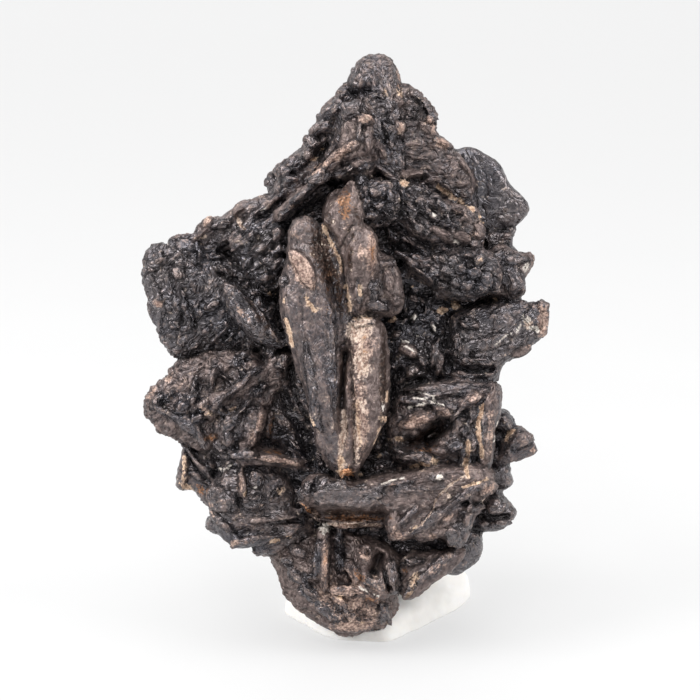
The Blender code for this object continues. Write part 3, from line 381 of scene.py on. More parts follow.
# %% The small crystals
# By letter: wrinkled, knobbly, middling, streaked, brown, and pale and flat.
CHIP_SKINS = {
    "w": Skin(0.9, 0.2, 0, 0.12), "k": Skin(0.5, 0.0, 0, 0.15), "m": Skin(0.45, 0.2, 0, 0.2),
    "s": Skin(0.3, 0.8, 0, 0.3), "b": Skin(0.5, 0.3, 0, 0.55), "p": Skin(0.15, 0.6, 0, 0.7),
}
CHIP_EDGES = {"w": 2.3, "k": 2.1, "m": 2.6, "s": 3.0, "b": 2.6, "p": 4.0}
CHIPS = [
    # the summit and the left slope
    (348, 101, 9, 7, 60, 2.0, "w"), (352, 117, 12, 9, 20, 3.2, "m"), (366, 127, 9, 6, -10, 2.2, "b"),
    (359, 141, 4, 9, 0, 2.0, "m"), (332, 118, 8, 6, 35, 2.5, "m"), (321, 133, 10, 6, 38, 3.0, "m"),
    (311, 147, 6, 7, 60, 2.6, "m"), (309, 160, 8, 6, 50, 2.4, "w"), (299, 169, 9, 6, 30, 2.0, "w"),
    (285, 176, 7, 6, 40, 2.0, "m"), (291, 185, 9, 6, 15, 2.4, "m"), (322, 150, 10, 3, 50, 1.6, "m"),
    (424, 113, 8, 6, -40, 2.2, "w"), (431, 125, 7, 6, -60, 2.2, "w"), (413, 101, 7, 5, -35, 2.2, "w"),
    (411, 121, 7, 5, 55, 2.2, "w"), (425, 134, 10, 5, -20, 1.8, "b"), (399, 134, 4, 8, 0, 2.0, "b"),
    (386, 112, 8, 5, -60, 1.6, "w"), (398, 108, 5, 7, 20, 1.8, "b"), (374, 103, 9, 4, -15, 1.6, "w"),
    (388, 140, 6, 12, 15, 1.8, "w"), (379, 155, 5, 10, 20, 1.8, "b"), (369, 148, 5, 12, -5, 1.6, "b"),
    # the brown ridge and what lies under it
    (350, 153, 14, 6, 32, 2.0, "b"), (334, 166, 15, 6, 42, 2.2, "b"), (318, 183, 12, 7, 22, 3.0, "m"),
    (345, 177, 13, 4, 25, 2.0, "w"), (365, 174, 8, 4, 15, 2.2, "m"), (362, 185, 9, 4, -15, 2.0, "w"),
    (383, 177, 14, 3, -35, 1.6, "s"), (301, 203, 16, 4, 35, 2.6, "m"), (289, 218, 11, 5, 25, 2.6, "m"),
    (262, 213, 14, 3, 47, 2.0, "s"), (273, 207, 14, 3, 47, 2.0, "s"), (272, 222, 13, 3, 47, 1.8, "s"),
    (284, 196, 14, 3, 42, 1.8, "s"), (252, 222, 12, 3, 50, 1.6, "s"), (296, 188, 10, 3, 42, 1.6, "s"),
    # the crown
    (363, 196, 5, 8, 10, 2.2, "w"), (377, 197, 8, 4, 0, 2.2, "w"), (367, 208, 4, 7, -20, 2.0, "w"),
    (380, 210, 7, 5, 30, 2.2, "w"), (388, 221, 9, 4, -30, 2.2, "w"), (371, 221, 7, 3, 12, 1.8, "w"),
    (390, 203, 5, 6, 0, 1.8, "k"), (392, 238, 5, 11, 20, 2.8, "m"), (388, 265, 8, 5, 10, 2.0, "s"),
    (389, 285, 6, 13, 0, 2.0, "b"), (372, 291, 5, 9, 0, 1.8, "w"), (359, 296, 3, 14, 4, 1.8, "m"),
    (375, 308, 12, 5, -15, 2.2, "m"), (395, 303, 7, 6, 0, 2.2, "b"), (349, 298, 3, 18, 4, 1.4, "b"),
    (357, 300, 3, 18, 4, 1.6, "b"), (312, 385, 5, 45, 8, 1.6, "m"), (333, 370, 5, 60, 0, 1.0, "m"),
    (383, 417, 4.5, 4.5, 0, 2.0, "k"), (347, 469.5, 6, 5, 10, 3.0, "k"), (359, 473, 4, 5, -30, 2.0, "k"),
    (378, 445, 4, 7, -20, 2.0, "m"), (361, 322, 13, 5, 0, 1.6, "m"),
    # the right, upper
    (410, 178, 11, 4, 4, 2.8, "p"), (402, 188, 6, 5, 25, 1.6, "m"), (440, 147, 12, 4, -25, 1.8, "b"),
    (460, 166, 13, 3, -52, 2.0, "b"), (471, 184, 11, 3, -78, 2.0, "b"), (472, 203, 12, 3, -90, 1.6, "m"),
    (430, 197, 13, 4, -30, 2.2, "w"), (421, 208, 10, 4, -35, 2.2, "m"), (441, 210, 10, 5, -25, 2.2, "m"),
    (455, 212, 9, 5, -20, 2.2, "b"), (410, 214, 9, 5, -40, 2.0, "w"), (432, 222, 14, 4, -32, 2.2, "w"),
    (449, 225, 9, 5, -30, 2.2, "w"), (463, 222, 8, 4, -35, 2.0, "b"), (415, 231, 15, 5, -38, 2.6, "w"),
    (440, 237, 12, 4, -25, 2.2, "b"), (461, 240, 9, 5, -10, 2.2, "b"), (397, 219, 8, 4, -60, 2.2, "w"),
    (405, 200, 8, 4, -50, 1.8, "w"), (418, 192, 10, 3, -25, 1.6, "w"), (476, 233, 6, 8, 20, 2.0, "b"),
    (496, 239, 15, 8, -5, 3.0, "m"), (487, 250, 12, 3, 8, 1.8, "w"), (450, 196, 12, 3, -35, 1.6, "w"),
    (405, 262, 14, 4, -30, 2.4, "s"), (421, 254, 12, 4, -25, 2.2, "w"), (438, 261, 10, 4, -15, 2.2, "w"),
    (420, 277, 17, 4, -40, 3.0, "s"), (401, 274, 9, 5, -45, 2.2, "m"), (398, 256, 7, 4, -30, 2.0, "m"),
    # the right: knobs like a bunch of grapes
    (450, 262, 7, 6, 10, 2.0, "k"), (463, 257, 7, 5, -15, 2.0, "k"), (476, 262, 7, 6, 20, 2.0, "k"),
    (489, 267, 7, 7, 0, 2.0, "k"), (445, 274, 7, 5, -20, 2.2, "k"), (458, 271, 7, 6, 30, 2.2, "k"),
    (471, 275, 8, 6, -10, 2.2, "k"), (484, 280, 7, 7, 50, 2.2, "k"), (440, 287, 8, 5, -25, 2.4, "k"),
    (452, 285, 7, 6, 5, 2.4, "k"), (465, 288, 8, 6, 15, 2.4, "k"), (478, 291, 7, 5, -15, 2.4, "k"),
    (492, 286, 5, 10, 10, 2.2, "w"), (454, 296, 9, 4, -5, 2.2, "k"), (470, 297, 7, 4, 5, 2.0, "k"),
    (497, 258, 9, 5, 10, 2.0, "w"), (432, 275, 6, 4, -35, 1.8, "k"), (500, 272, 3, 14, 5, 1.6, "m"),
    (513, 282, 10, 14, 5, 2.0, "m"), (512, 262, 12, 5, 5, 1.8, "m"),
    # the right recess
    (407, 350, 10, 6, -28, 3.4, "p"), (409, 372, 9, 6, 30, 2.4, "w"), (421, 360, 4, 10, 25, 2.2, "w"),
    (396, 334, 7, 3, 45, 2.0, "w"), (417, 336, 4, 3, 0, 1.8, "m"), (432, 328, 3, 6, 25, 2.0, "m"),
    (404, 305, 2.5, 10, 5, 2.0, "m"), (413, 318, 3, 7, -20, 2.0, "w"), (424, 312, 6, 3, 40, 1.8, "w"),
    (400, 322, 8, 3, 20, 1.8, "w"), (428, 345, 3, 8, 15, 2.0, "w"), (391, 321, 7, 3, 25, 1.6, "m"),
    (415, 300, 9, 3, -30, 1.8, "w"), (430, 300, 7, 3, 50, 1.8, "w"), (394, 362, 3, 8, -10, 1.8, "w"),
    (447, 310, 11, 3, 12, 1.6, "m"), (436, 350, 2.2, 14, -4, 2.6, "s"), (431, 356, 2.0, 13, -6, 2.4, "s"),
    (441, 362, 2.2, 13, -2, 2.4, "s"), (436, 368, 2.0, 8, -10, 2.2, "s"), (446, 352, 2.5, 12, 20, 2.0, "w"),
    # the right wing
    (531, 317, 9, 12, 25, 1.5, "m"), (537, 331, 6, 9, -15, 1.3, "m"), (541, 306, 6, 5, 0, 1.6, "m"),
    (528, 338, 8, 5, 35, 1.2, "m"), (515, 345, 12, 4, 30, 1.2, "m"), (478, 344, 30, 6, 12, 1.4, "m"),
    (474, 362, 22, 5, -3, 1.8, "w"), (462, 374, 22, 3, -2, 1.6, "s"), (465, 325, 12, 9, -20, 1.0, "w"),
    (455, 345, 5, 14, 10, 1.2, "w"), (520, 352, 10, 4, 35, 1.4, "b"),
    # below the wing, down to the ledge
    (440, 386, 44, 3, 4, 1.8, "s"), (450, 392, 38, 3, 8, 1.6, "s"), (468, 398, 14, 6, 32, 2.2, "b"),
    (415, 400, 20, 4, -8, 2.0, "m"), (458, 410, 13, 5, 38, 2.0, "w"), (463, 425, 10, 4, 60, 2.0, "w"),
    (452, 445, 8, 6, 35, 2.2, "m"), (416, 419, 20, 7, 20, 3.2, "b"), (441, 411, 12, 5, -18, 2.4, "b"),
    (400, 437, 5, 4, 0, 2.2, "m"), (412, 455, 13, 6, 5, 2.4, "m"), (426, 458, 7, 5, -20, 2.2, "m"),
    (395, 452, 8, 6, 20, 2.0, "w"), (436, 448, 10, 4, -10, 1.6, "b"), (395, 468, 14, 2.5, 8, 1.4, "b"),
    (430, 468, 14, 3, 10, 1.4, "b"), (460, 455, 4, 12, -10, 1.8, "m"), (471, 440, 3, 20, -8, 1.6, "w"),
    (487, 425, 6, 38, -3, 2.0, "b"), (477, 424, 4, 30, -3, 3.0, "w"), (469, 460, 4, 10, 0, 1.6, "w"),
    (519, 440, 13, 8, 20, 1.8, "s"), (503, 424, 8, 9, 30, 1.6, "m"), (508, 448, 8, 4, 25, 1.6, "w"),
    # the ledge and its streaked lobe
    (342, 490, 40, 5, 2, 1.6, "s"), (350, 500, 36, 4, 1, 1.4, "s"), (395, 480, 22, 3, 8, 1.6, "s"),
    (437, 475, 8, 4, 10, 1.8, "m"), (420, 487, 26, 3, 4, 1.4, "s"), (317, 481, 14, 9, 20, 1.4, "w"),
    (338, 481, 12, 7, -10, 1.4, "w"), (301, 492, 7, 9, 30, 2.0, "w"), (358, 484, 9, 5, 10, 1.8, "w"),
    (372, 490, 14, 5, -5, 1.8, "w"), (306, 503, 9, 3, -50, 2.0, "b"), (353, 522.5, 34, 3.0, -1, 5.2, "b"),
    (311, 512, 12, 3.0, -42, 5.0, "b"), (393, 517, 8, 12, 10, 1.2, "b"), (400, 532, 13, 5, 12, 1.4, "b"),
    (421, 533, 10, 5, 5, 1.6, "b"), (437, 529, 8, 5, 15, 1.6, "b"), (408, 512, 16, 4, 42, 2.0, "s"),
    (425, 517, 20, 4, 45, 2.0, "s"), (440, 510, 24, 4, 42, 1.8, "s"), (455, 500, 26, 4, 38, 1.8, "s"),
    (466, 489, 24, 4, 28, 1.8, "s"), (470, 507, 16, 4, 15, 1.8, "s"), (453, 533, 9, 14, -8, 2.4, "m"),
    (465, 520, 4, 22, -12, 1.8, "s"), (486, 486, 10, 6, 30, 1.6, "b"), (495, 505, 10, 9, 0, 1.8, "m"),
    (500, 522, 14, 5, 12, 1.8, "m"),
    # the foot
    (345, 587, 13, 5, -5, 3.0, "s"), (365, 551, 9, 9, 0, 2.0, "b"), (376, 576, 12, 9, -20, 2.8, "m"),
    (393, 572, 6, 18, 5, 2.6, "m"), (366, 592, 16, 4, -35, 2.0, "b"), (384, 612, 7, 13, 15, 1.6, "m"),
    (340, 550, 5, 24, 0, 2.0, "w"), (326, 558, 4.5, 31, -2, 3.0, "b"), (317, 556, 4, 20, -3, 2.0, "m"),
    (352, 567, 7, 12, 20, 2.4, "b"), (345, 607, 20, 6, -50, 1.4, "w"), (310, 590, 14, 8, -40, 1.6, "w"),
    (298, 572, 12, 7, -30, 1.6, "w"), (286, 560, 8, 6, -20, 1.6, "w"), (355, 622, 24, 7, 5, 1.8, "b"),
    (330, 610, 16, 6, -40, 1.6, "w"), (300, 548, 10, 5, -10, 1.8, "m"), (410, 582, 14, 5, 60, 1.8, "w"),
    (425, 568, 22, 4, 42, 1.6, "s"), (440, 560, 20, 4, 44, 1.6, "s"), (412, 558, 12, 5, 10, 1.6, "w"),
    # the left, upper
    (232, 238, 13, 2.6, 38, 1.8, "s"), (237, 243, 12, 2.6, 38, 1.6, "s"), (241, 248, 10, 2.4, 40, 1.6, "s"),
    (256, 250, 10, 2.6, 47, 1.8, "s"), (262, 253, 10, 2.6, 47, 1.6, "s"), (268, 249, 9, 2.6, 50, 1.6, "s"),
    (281, 237, 10, 8, 30, 2.6, "k"), (270, 262, 9, 4, 22, 2.0, "k"), (279, 266, 9, 6, 30, 2.4, "k"),
    (266, 280, 10, 4, 5, 2.0, "k"), (250, 265, 8, 4, 55, 1.8, "k"), (281, 252, 7, 5, 10, 2.2, "k"),
    (285, 283, 6, 5, 20, 2.0, "k"), (255, 238, 7, 5, 60, 1.8, "k"), (243, 231, 5, 3, -60, 1.6, "m"),
    (210, 224, 7, 4, 60, 2.0, "b"), (188, 247, 9, 6, -10, 2.0, "m"), (202, 253, 4, 10, 5, 2.0, "m"),
    (217, 250, 13, 4, 15, 2.0, "w"), (215, 258, 12, 4, -5, 1.8, "w"), (226, 272, 10, 4, -30, 1.8, "w"),
    (240, 215, 8, 4, 40, 1.8, "b"), (225, 228, 12, 4, 25, 1.8, "w"), (205, 236, 10, 4, 40, 1.8, "b"),
    (225, 332, 9, 2.6, 42, 1.8, "m"), (232, 338, 10, 2.6, 42, 1.8, "m"), (217, 340, 8, 2.6, 42, 1.6, "m"),
    (239, 343, 8, 2.6, 45, 1.6, "m"), (210, 330, 8, 2.6, 50, 1.4, "m"), (196, 320, 3, 12, 10, 1.4, "w"),
    (188, 305, 3, 16, 15, 1.4, "w"), (178, 326, 7, 5, 0, 1.6, "w"), (215, 308, 10, 3, 35, 1.4, "w"),
    (262, 318, 30, 5, -52, 2.2, "m"), (284, 341, 9, 8, -50, 3.0, "w"), (272, 300, 24, 3.5, -55, 1.6, "w"),
    (160, 262, 12, 9, 30, 1.4, "w"), (183, 275, 8, 7, 0, 1.4, "w"), (160, 305, 34, 10, -76, 0.9, "k"),
    (270, 352, 8, 6, 20, 1.8, "w"), (285, 362, 7, 8, 0, 2.0, "w"), (243, 358, 12, 4, 40, 1.8, "w"),
    # the left, middle
    (215, 379, 4, 13, -15, 2.6, "m"), (236, 389, 24, 3.4, 38, 2.6, "s"), (246, 379, 22, 3.0, 35, 2.4, "s"),
    (226, 400, 15, 3, 38, 2.0, "s"), (243, 410, 15, 3.6, 48, 2.2, "m"), (263, 420, 4.4, 12, -15, 3.0, "p"),
    (255, 436, 4.6, 8, -15, 2.8, "p"), (271, 424, 3.4, 14, -8, 2.4, "b"), (246, 443, 5, 5, 0, 2.0, "b"),
    (245, 453, 14, 5, -4, 2.6, "m"), (262, 443, 9, 4, -12, 2.4, "m"), (206, 404, 6, 5, 30, 2.0, "k"),
    (212, 413, 6, 5, -20, 2.0, "b"), (200, 418, 7, 5, 10, 2.0, "k"), (196, 396, 8, 4, 35, 1.8, "w"),
    (228, 378, 10, 3, -30, 2.0, "w"), (230, 424, 9, 7, 50, 2.2, "m"), (222, 410, 6, 5, 0, 2.0, "k"),
    (184, 406, 8, 5, 20, 1.8, "k"), (172, 396, 8, 4, 35, 1.6, "w"), (160, 400, 8, 5, 60, 1.6, "w"),
    (176, 416, 24, 3, -28, 1.8, "m"), (204, 436, 3.4, 14, 22, 2.0, "m"), (189, 423, 14, 8, -30, 1.4, "m"),
    (222, 445, 8, 5, -50, 2.0, "m"), (232, 436, 7, 8, 0, 2.2, "m"), (198, 385, 4, 12, -10, 1.6, "w"),
    (255, 372, 12, 4, 30, 2.2, "m"), (262, 388, 10, 5, 25, 1.8, "w"), (281, 457, 25, 5, -9, 3.6, "b"),
    (295, 452, 12, 2.5, -45, 2.6, "m"), (244, 372, 8, 4, -40, 1.6, "w"),
    # the left, lower
    (200, 462, 22, 3, -48, 1.8, "m"), (186, 468, 3.4, 22, -5, 1.8, "b"), (205, 478, 16, 4, -30, 1.6, "m"),
    (225, 467, 6, 3, 20, 1.6, "m"), (221, 496, 12, 14, 0, 2.4, "m"), (243, 480, 4.6, 15, 4, 2.4, "b"),
    (235, 500, 5, 10, 10, 1.8, "m"), (225, 522, 14, 5, -35, 1.8, "m"), (255, 500, 14, 8, 20, 1.8, "w"),
    (246, 539, 17, 6, 12, 2.2, "m"), (275, 516, 30, 3, 5, 2.0, "s"), (282, 525, 28, 3, 3, 2.0, "s"),
    (272, 534, 22, 3, 9, 1.8, "s"), (290, 508, 20, 3, 5, 1.8, "s"), (262, 550, 10, 4, 10, 1.8, "m"),
    (276, 490, 8, 3, 50, 1.8, "w"), (258, 478, 7, 9, 0, 1.6, "w"), (304, 514, 4, 4, 0, 1.8, "m"),
]
print(len(CHIPS), "small crystals")

# %% [markdown]
# ## Cracks, gullies and veins
#
# Each line below is drawn on the paper with a round-nosed tool: half its width in squares, how deep it goes
# in millimetres (a vein that stands proud is negative), and the points it runs through. They are sorted by
# what fills them, and the dark ones are empty.

# %% The lines
LINES = {
    "dark": [
        (3.6, 2.6, [(337, 127), (334, 140), (327, 150), (318, 160)]),
        (3.0, 1.6, [(350, 98), (358, 101), (367, 99)]),
        (3.5, 2.6, [(347, 195), (325, 203), (305, 214), (296, 222), (289, 234)]),
        (2.0, 1.4, [(343, 171), (356, 165), (373, 163)]), (2.6, 2.2, [(394, 227), (410, 240), (431, 251)]),
        (2.2, 1.6, [(370, 226), (384, 224), (396, 232)]), (2.4, 2.0, [(433, 247), (450, 249), (464, 249)]),
        (2.8, 2.4, [(412, 276), (424, 283), (432, 291), (440, 299), (455, 303), (475, 300), (493, 299)]),
        (1.8, 1.2, [(420, 207), (432, 214), (445, 226)]), (1.8, 1.2, [(418, 217), (430, 226), (446, 234)]),
        (2.0, 1.4, [(400, 184), (412, 185), (424, 181)]),
        (2.2, 1.8, [(443, 352), (449, 358), (458, 366), (468, 371), (490, 369)]),
        (2.2, 1.8, [(424, 360), (428, 370), (434, 378), (450, 378)]),
        (3.0, 2.4, [(398, 388), (410, 381), (419, 379)]),
        (4.0, 3.4, [(399, 370), (393, 381), (392, 393), (388, 411)]),
        (3.0, 2.0, [(385, 345), (389, 355), (388, 364)]), (3.0, 2.0, [(448, 322), (447, 335), (443, 345)]),
        (2.2, 1.8, [(239, 281), (252, 300), (262, 318), (271, 333)]), (5.0, 4.0, [(269, 301), (279, 301)]),
        (4.0, 3.0, [(279, 306), (280, 322), (286, 334)]), (4.0, 3.5, [(258, 352), (265, 359)]),
        (2.0, 1.4, [(221, 275), (235, 281), (247, 284)]), (2.2, 1.6, [(232, 321), (236, 327), (243, 330)]),
        (3.0, 2.4, [(290, 362), (293, 380), (297, 400)]),
        (6.0, 3.2, [(286, 396), (294, 412), (303, 432), (311, 458)]),
        (3.0, 3.0, [(300, 404), (306, 414), (308, 420)]), (4.0, 3.4, [(264, 448), (276, 447), (291, 453)]),
        (4.0, 3.2, [(214, 455), (221, 463), (218, 472)]), (1.8, 1.4, [(187, 451), (198, 468), (212, 482)]),
        (1.4, 0.8, [(178, 264), (173, 277), (181, 299), (186, 322)]),
        (1.4, 0.8, [(178, 262), (190, 258), (204, 268), (212, 280)]),
        (1.6, 8.0, [(346, 352), (344.5, 368), (343, 385), (342, 406)]),
        (0.9, 1.3, [(353, 229), (347, 239), (342, 250)]), (0.8, 1.0, [(356, 235), (350, 246), (344, 257)]),
        (0.9, 1.6, [(350, 352), (352, 375), (354, 400), (355, 425), (354, 460)]),
        (2.0, 1.4, [(359, 468), (354, 477), (362, 478)]),
        (5.0, 4.6, [(405, 441), (420, 439), (434, 431), (444, 423)]), (7.0, 7.0, [(426, 436), (437, 427)]),
        (2.4, 1.6, [(385, 471), (405, 468), (425, 467), (446, 462)]),
        (5.6, 6.0, [(313, 507), (328, 511), (350, 512), (366, 512), (380, 511.5)]),
        (1.3, 2.6, [(307, 502), (316, 505), (330, 507), (342, 505.5), (354, 507), (366, 505.5), (381, 507)]),
        (1.6, 3.4, [(381, 560), (384, 572), (388, 585)]), (5.0, 5.5, [(378, 555), (374, 568)]),
        (1.6, 1.6, [(367, 547), (368, 550)]), (2.4, 2.0, [(478, 515), (492, 517), (506, 515)]),
        (2.6, 2.2, [(468, 527), (479, 530)]), (1.3, 1.2, [(497, 441), (497, 455)]),
        (1.8, 1.6, [(396, 602), (399, 598), (400, 588)]), (1.8, 1.4, [(310, 500), (318, 470), (328, 462)]),
        (1.4, 1.0, [(448, 505), (456, 500), (478, 500)]),
        (1.0, 0.6, [(437, 520), (442, 512), (452, 504), (470, 500)]),
        (1.0, 0.6, [(503, 202), (512, 200), (521, 202)]), (0.9, 0.5, [(478, 172), (490, 178), (495, 190)]),
        (0.9, 0.5, [(476, 160), (484, 178), (484, 196), (479, 214)]),
        (0.8, 0.4, [(493, 164), (504, 178), (516, 190)]),
        (0.9, 0.6, [(484, 222), (500, 216), (516, 214), (526, 216)]),
        (0.8, 0.4, [(500, 188), (496, 202), (500, 216)]), (0.8, 0.4, [(482, 188), (494, 194), (500, 188)]),
        (1.2, 0.8, [(476, 228), (490, 234), (506, 230), (516, 222)]),
        (1.2, 1.2, [(325, 229), (333, 243), (342, 262), (346, 290), (349, 312)])],
    "ochre": [
        (1.1, 0.9, [(323, 228), (330, 242), (339, 260), (342, 274)]),
        (1.3, 0.8, [(346, 288), (348, 300), (351, 313)]), (1.2, 0.3, [(359, 288), (360, 298)]),
        (1.6, 0.4, [(288, 320), (291, 332), (294, 345)]), (1.2, 0.4, [(308, 300), (316, 313)]),
        (2.2, 0.4, [(341, 455), (341, 470)]), (1.2, 0.3, [(310, 416), (315, 422)]),
        (1.4, 0.6, [(436, 190), (450, 200), (463, 207), (471, 214)]), (1.4, 0.4, [(477, 219), (480, 225)]),
        (1.4, 0.5, [(480, 403), (478, 412), (475, 420), (476, 430)]),
        (1.5, 1.0, [(465, 440), (466, 450), (463, 462), (465, 474)]),
        (1.2, 0.8, [(474, 430), (478, 443), (479, 455)]), (1.3, 0.4, [(379, 426), (378, 435), (375, 440)]),
        (1.4, 0.3, [(388, 390), (386, 399)]), (1.2, 0.5, [(512, 429), (506, 434), (504, 441)]),
        (1.2, 0.3, [(411, 465), (418, 461), (427, 463)]), (0.8, 0.2, [(460, 484), (475, 480), (484, 476)])],
    "cream": [
        (2.6, 0.4, [(344, 410), (345, 425), (342, 440), (341, 450)]),
        (1.1, 0.7, [(465, 472), (455, 477), (447, 482), (441, 488), (434, 496), (431, 505), (426, 513)]),
        (0.8, 0.5, [(426, 513), (420, 521), (408, 529)]), (1.0, 0.5, [(443, 486), (447, 494)]),
        (1.2, 0.3, [(480, 500), (490, 489)]), (1.3, 0.2, [(240, 221), (243, 229), (248, 232)]),
        (1.0, 0.2, [(203, 241), (209, 238)])],
    "white": [
        (0.8, -0.2, [(409, 391), (422, 392), (431, 395), (433, 402), (443, 403)]),
        (0.9, -0.2, [(412, 397), (424, 397), (432, 402)]), (1.0, -0.2, [(408, 406), (415, 405), (423, 403)]),
        (0.7, 0.3, [(521, 315), (518, 325), (513, 333), (503, 336), (498, 340), (491, 346)]),
        (0.9, -0.2, [(360, 583), (368, 588), (378, 592)]), (0.8, -0.2, [(494, 420), (493, 432), (490, 446)]),
        (1.0, -0.2, [(219, 466), (224, 469), (232, 464)]), (0.9, -0.2, [(380, 481), (392, 477), (402, 475)]),
        (0.5, -0.1, [(401, 345), (408, 349), (413, 353)]), (0.8, -0.1, [(398, 340), (407, 343)]),
        (0.8, -0.1, [(263, 214), (268, 209)])],
}
print("lines:", {fill: len(lines) for fill, lines in LINES.items()})
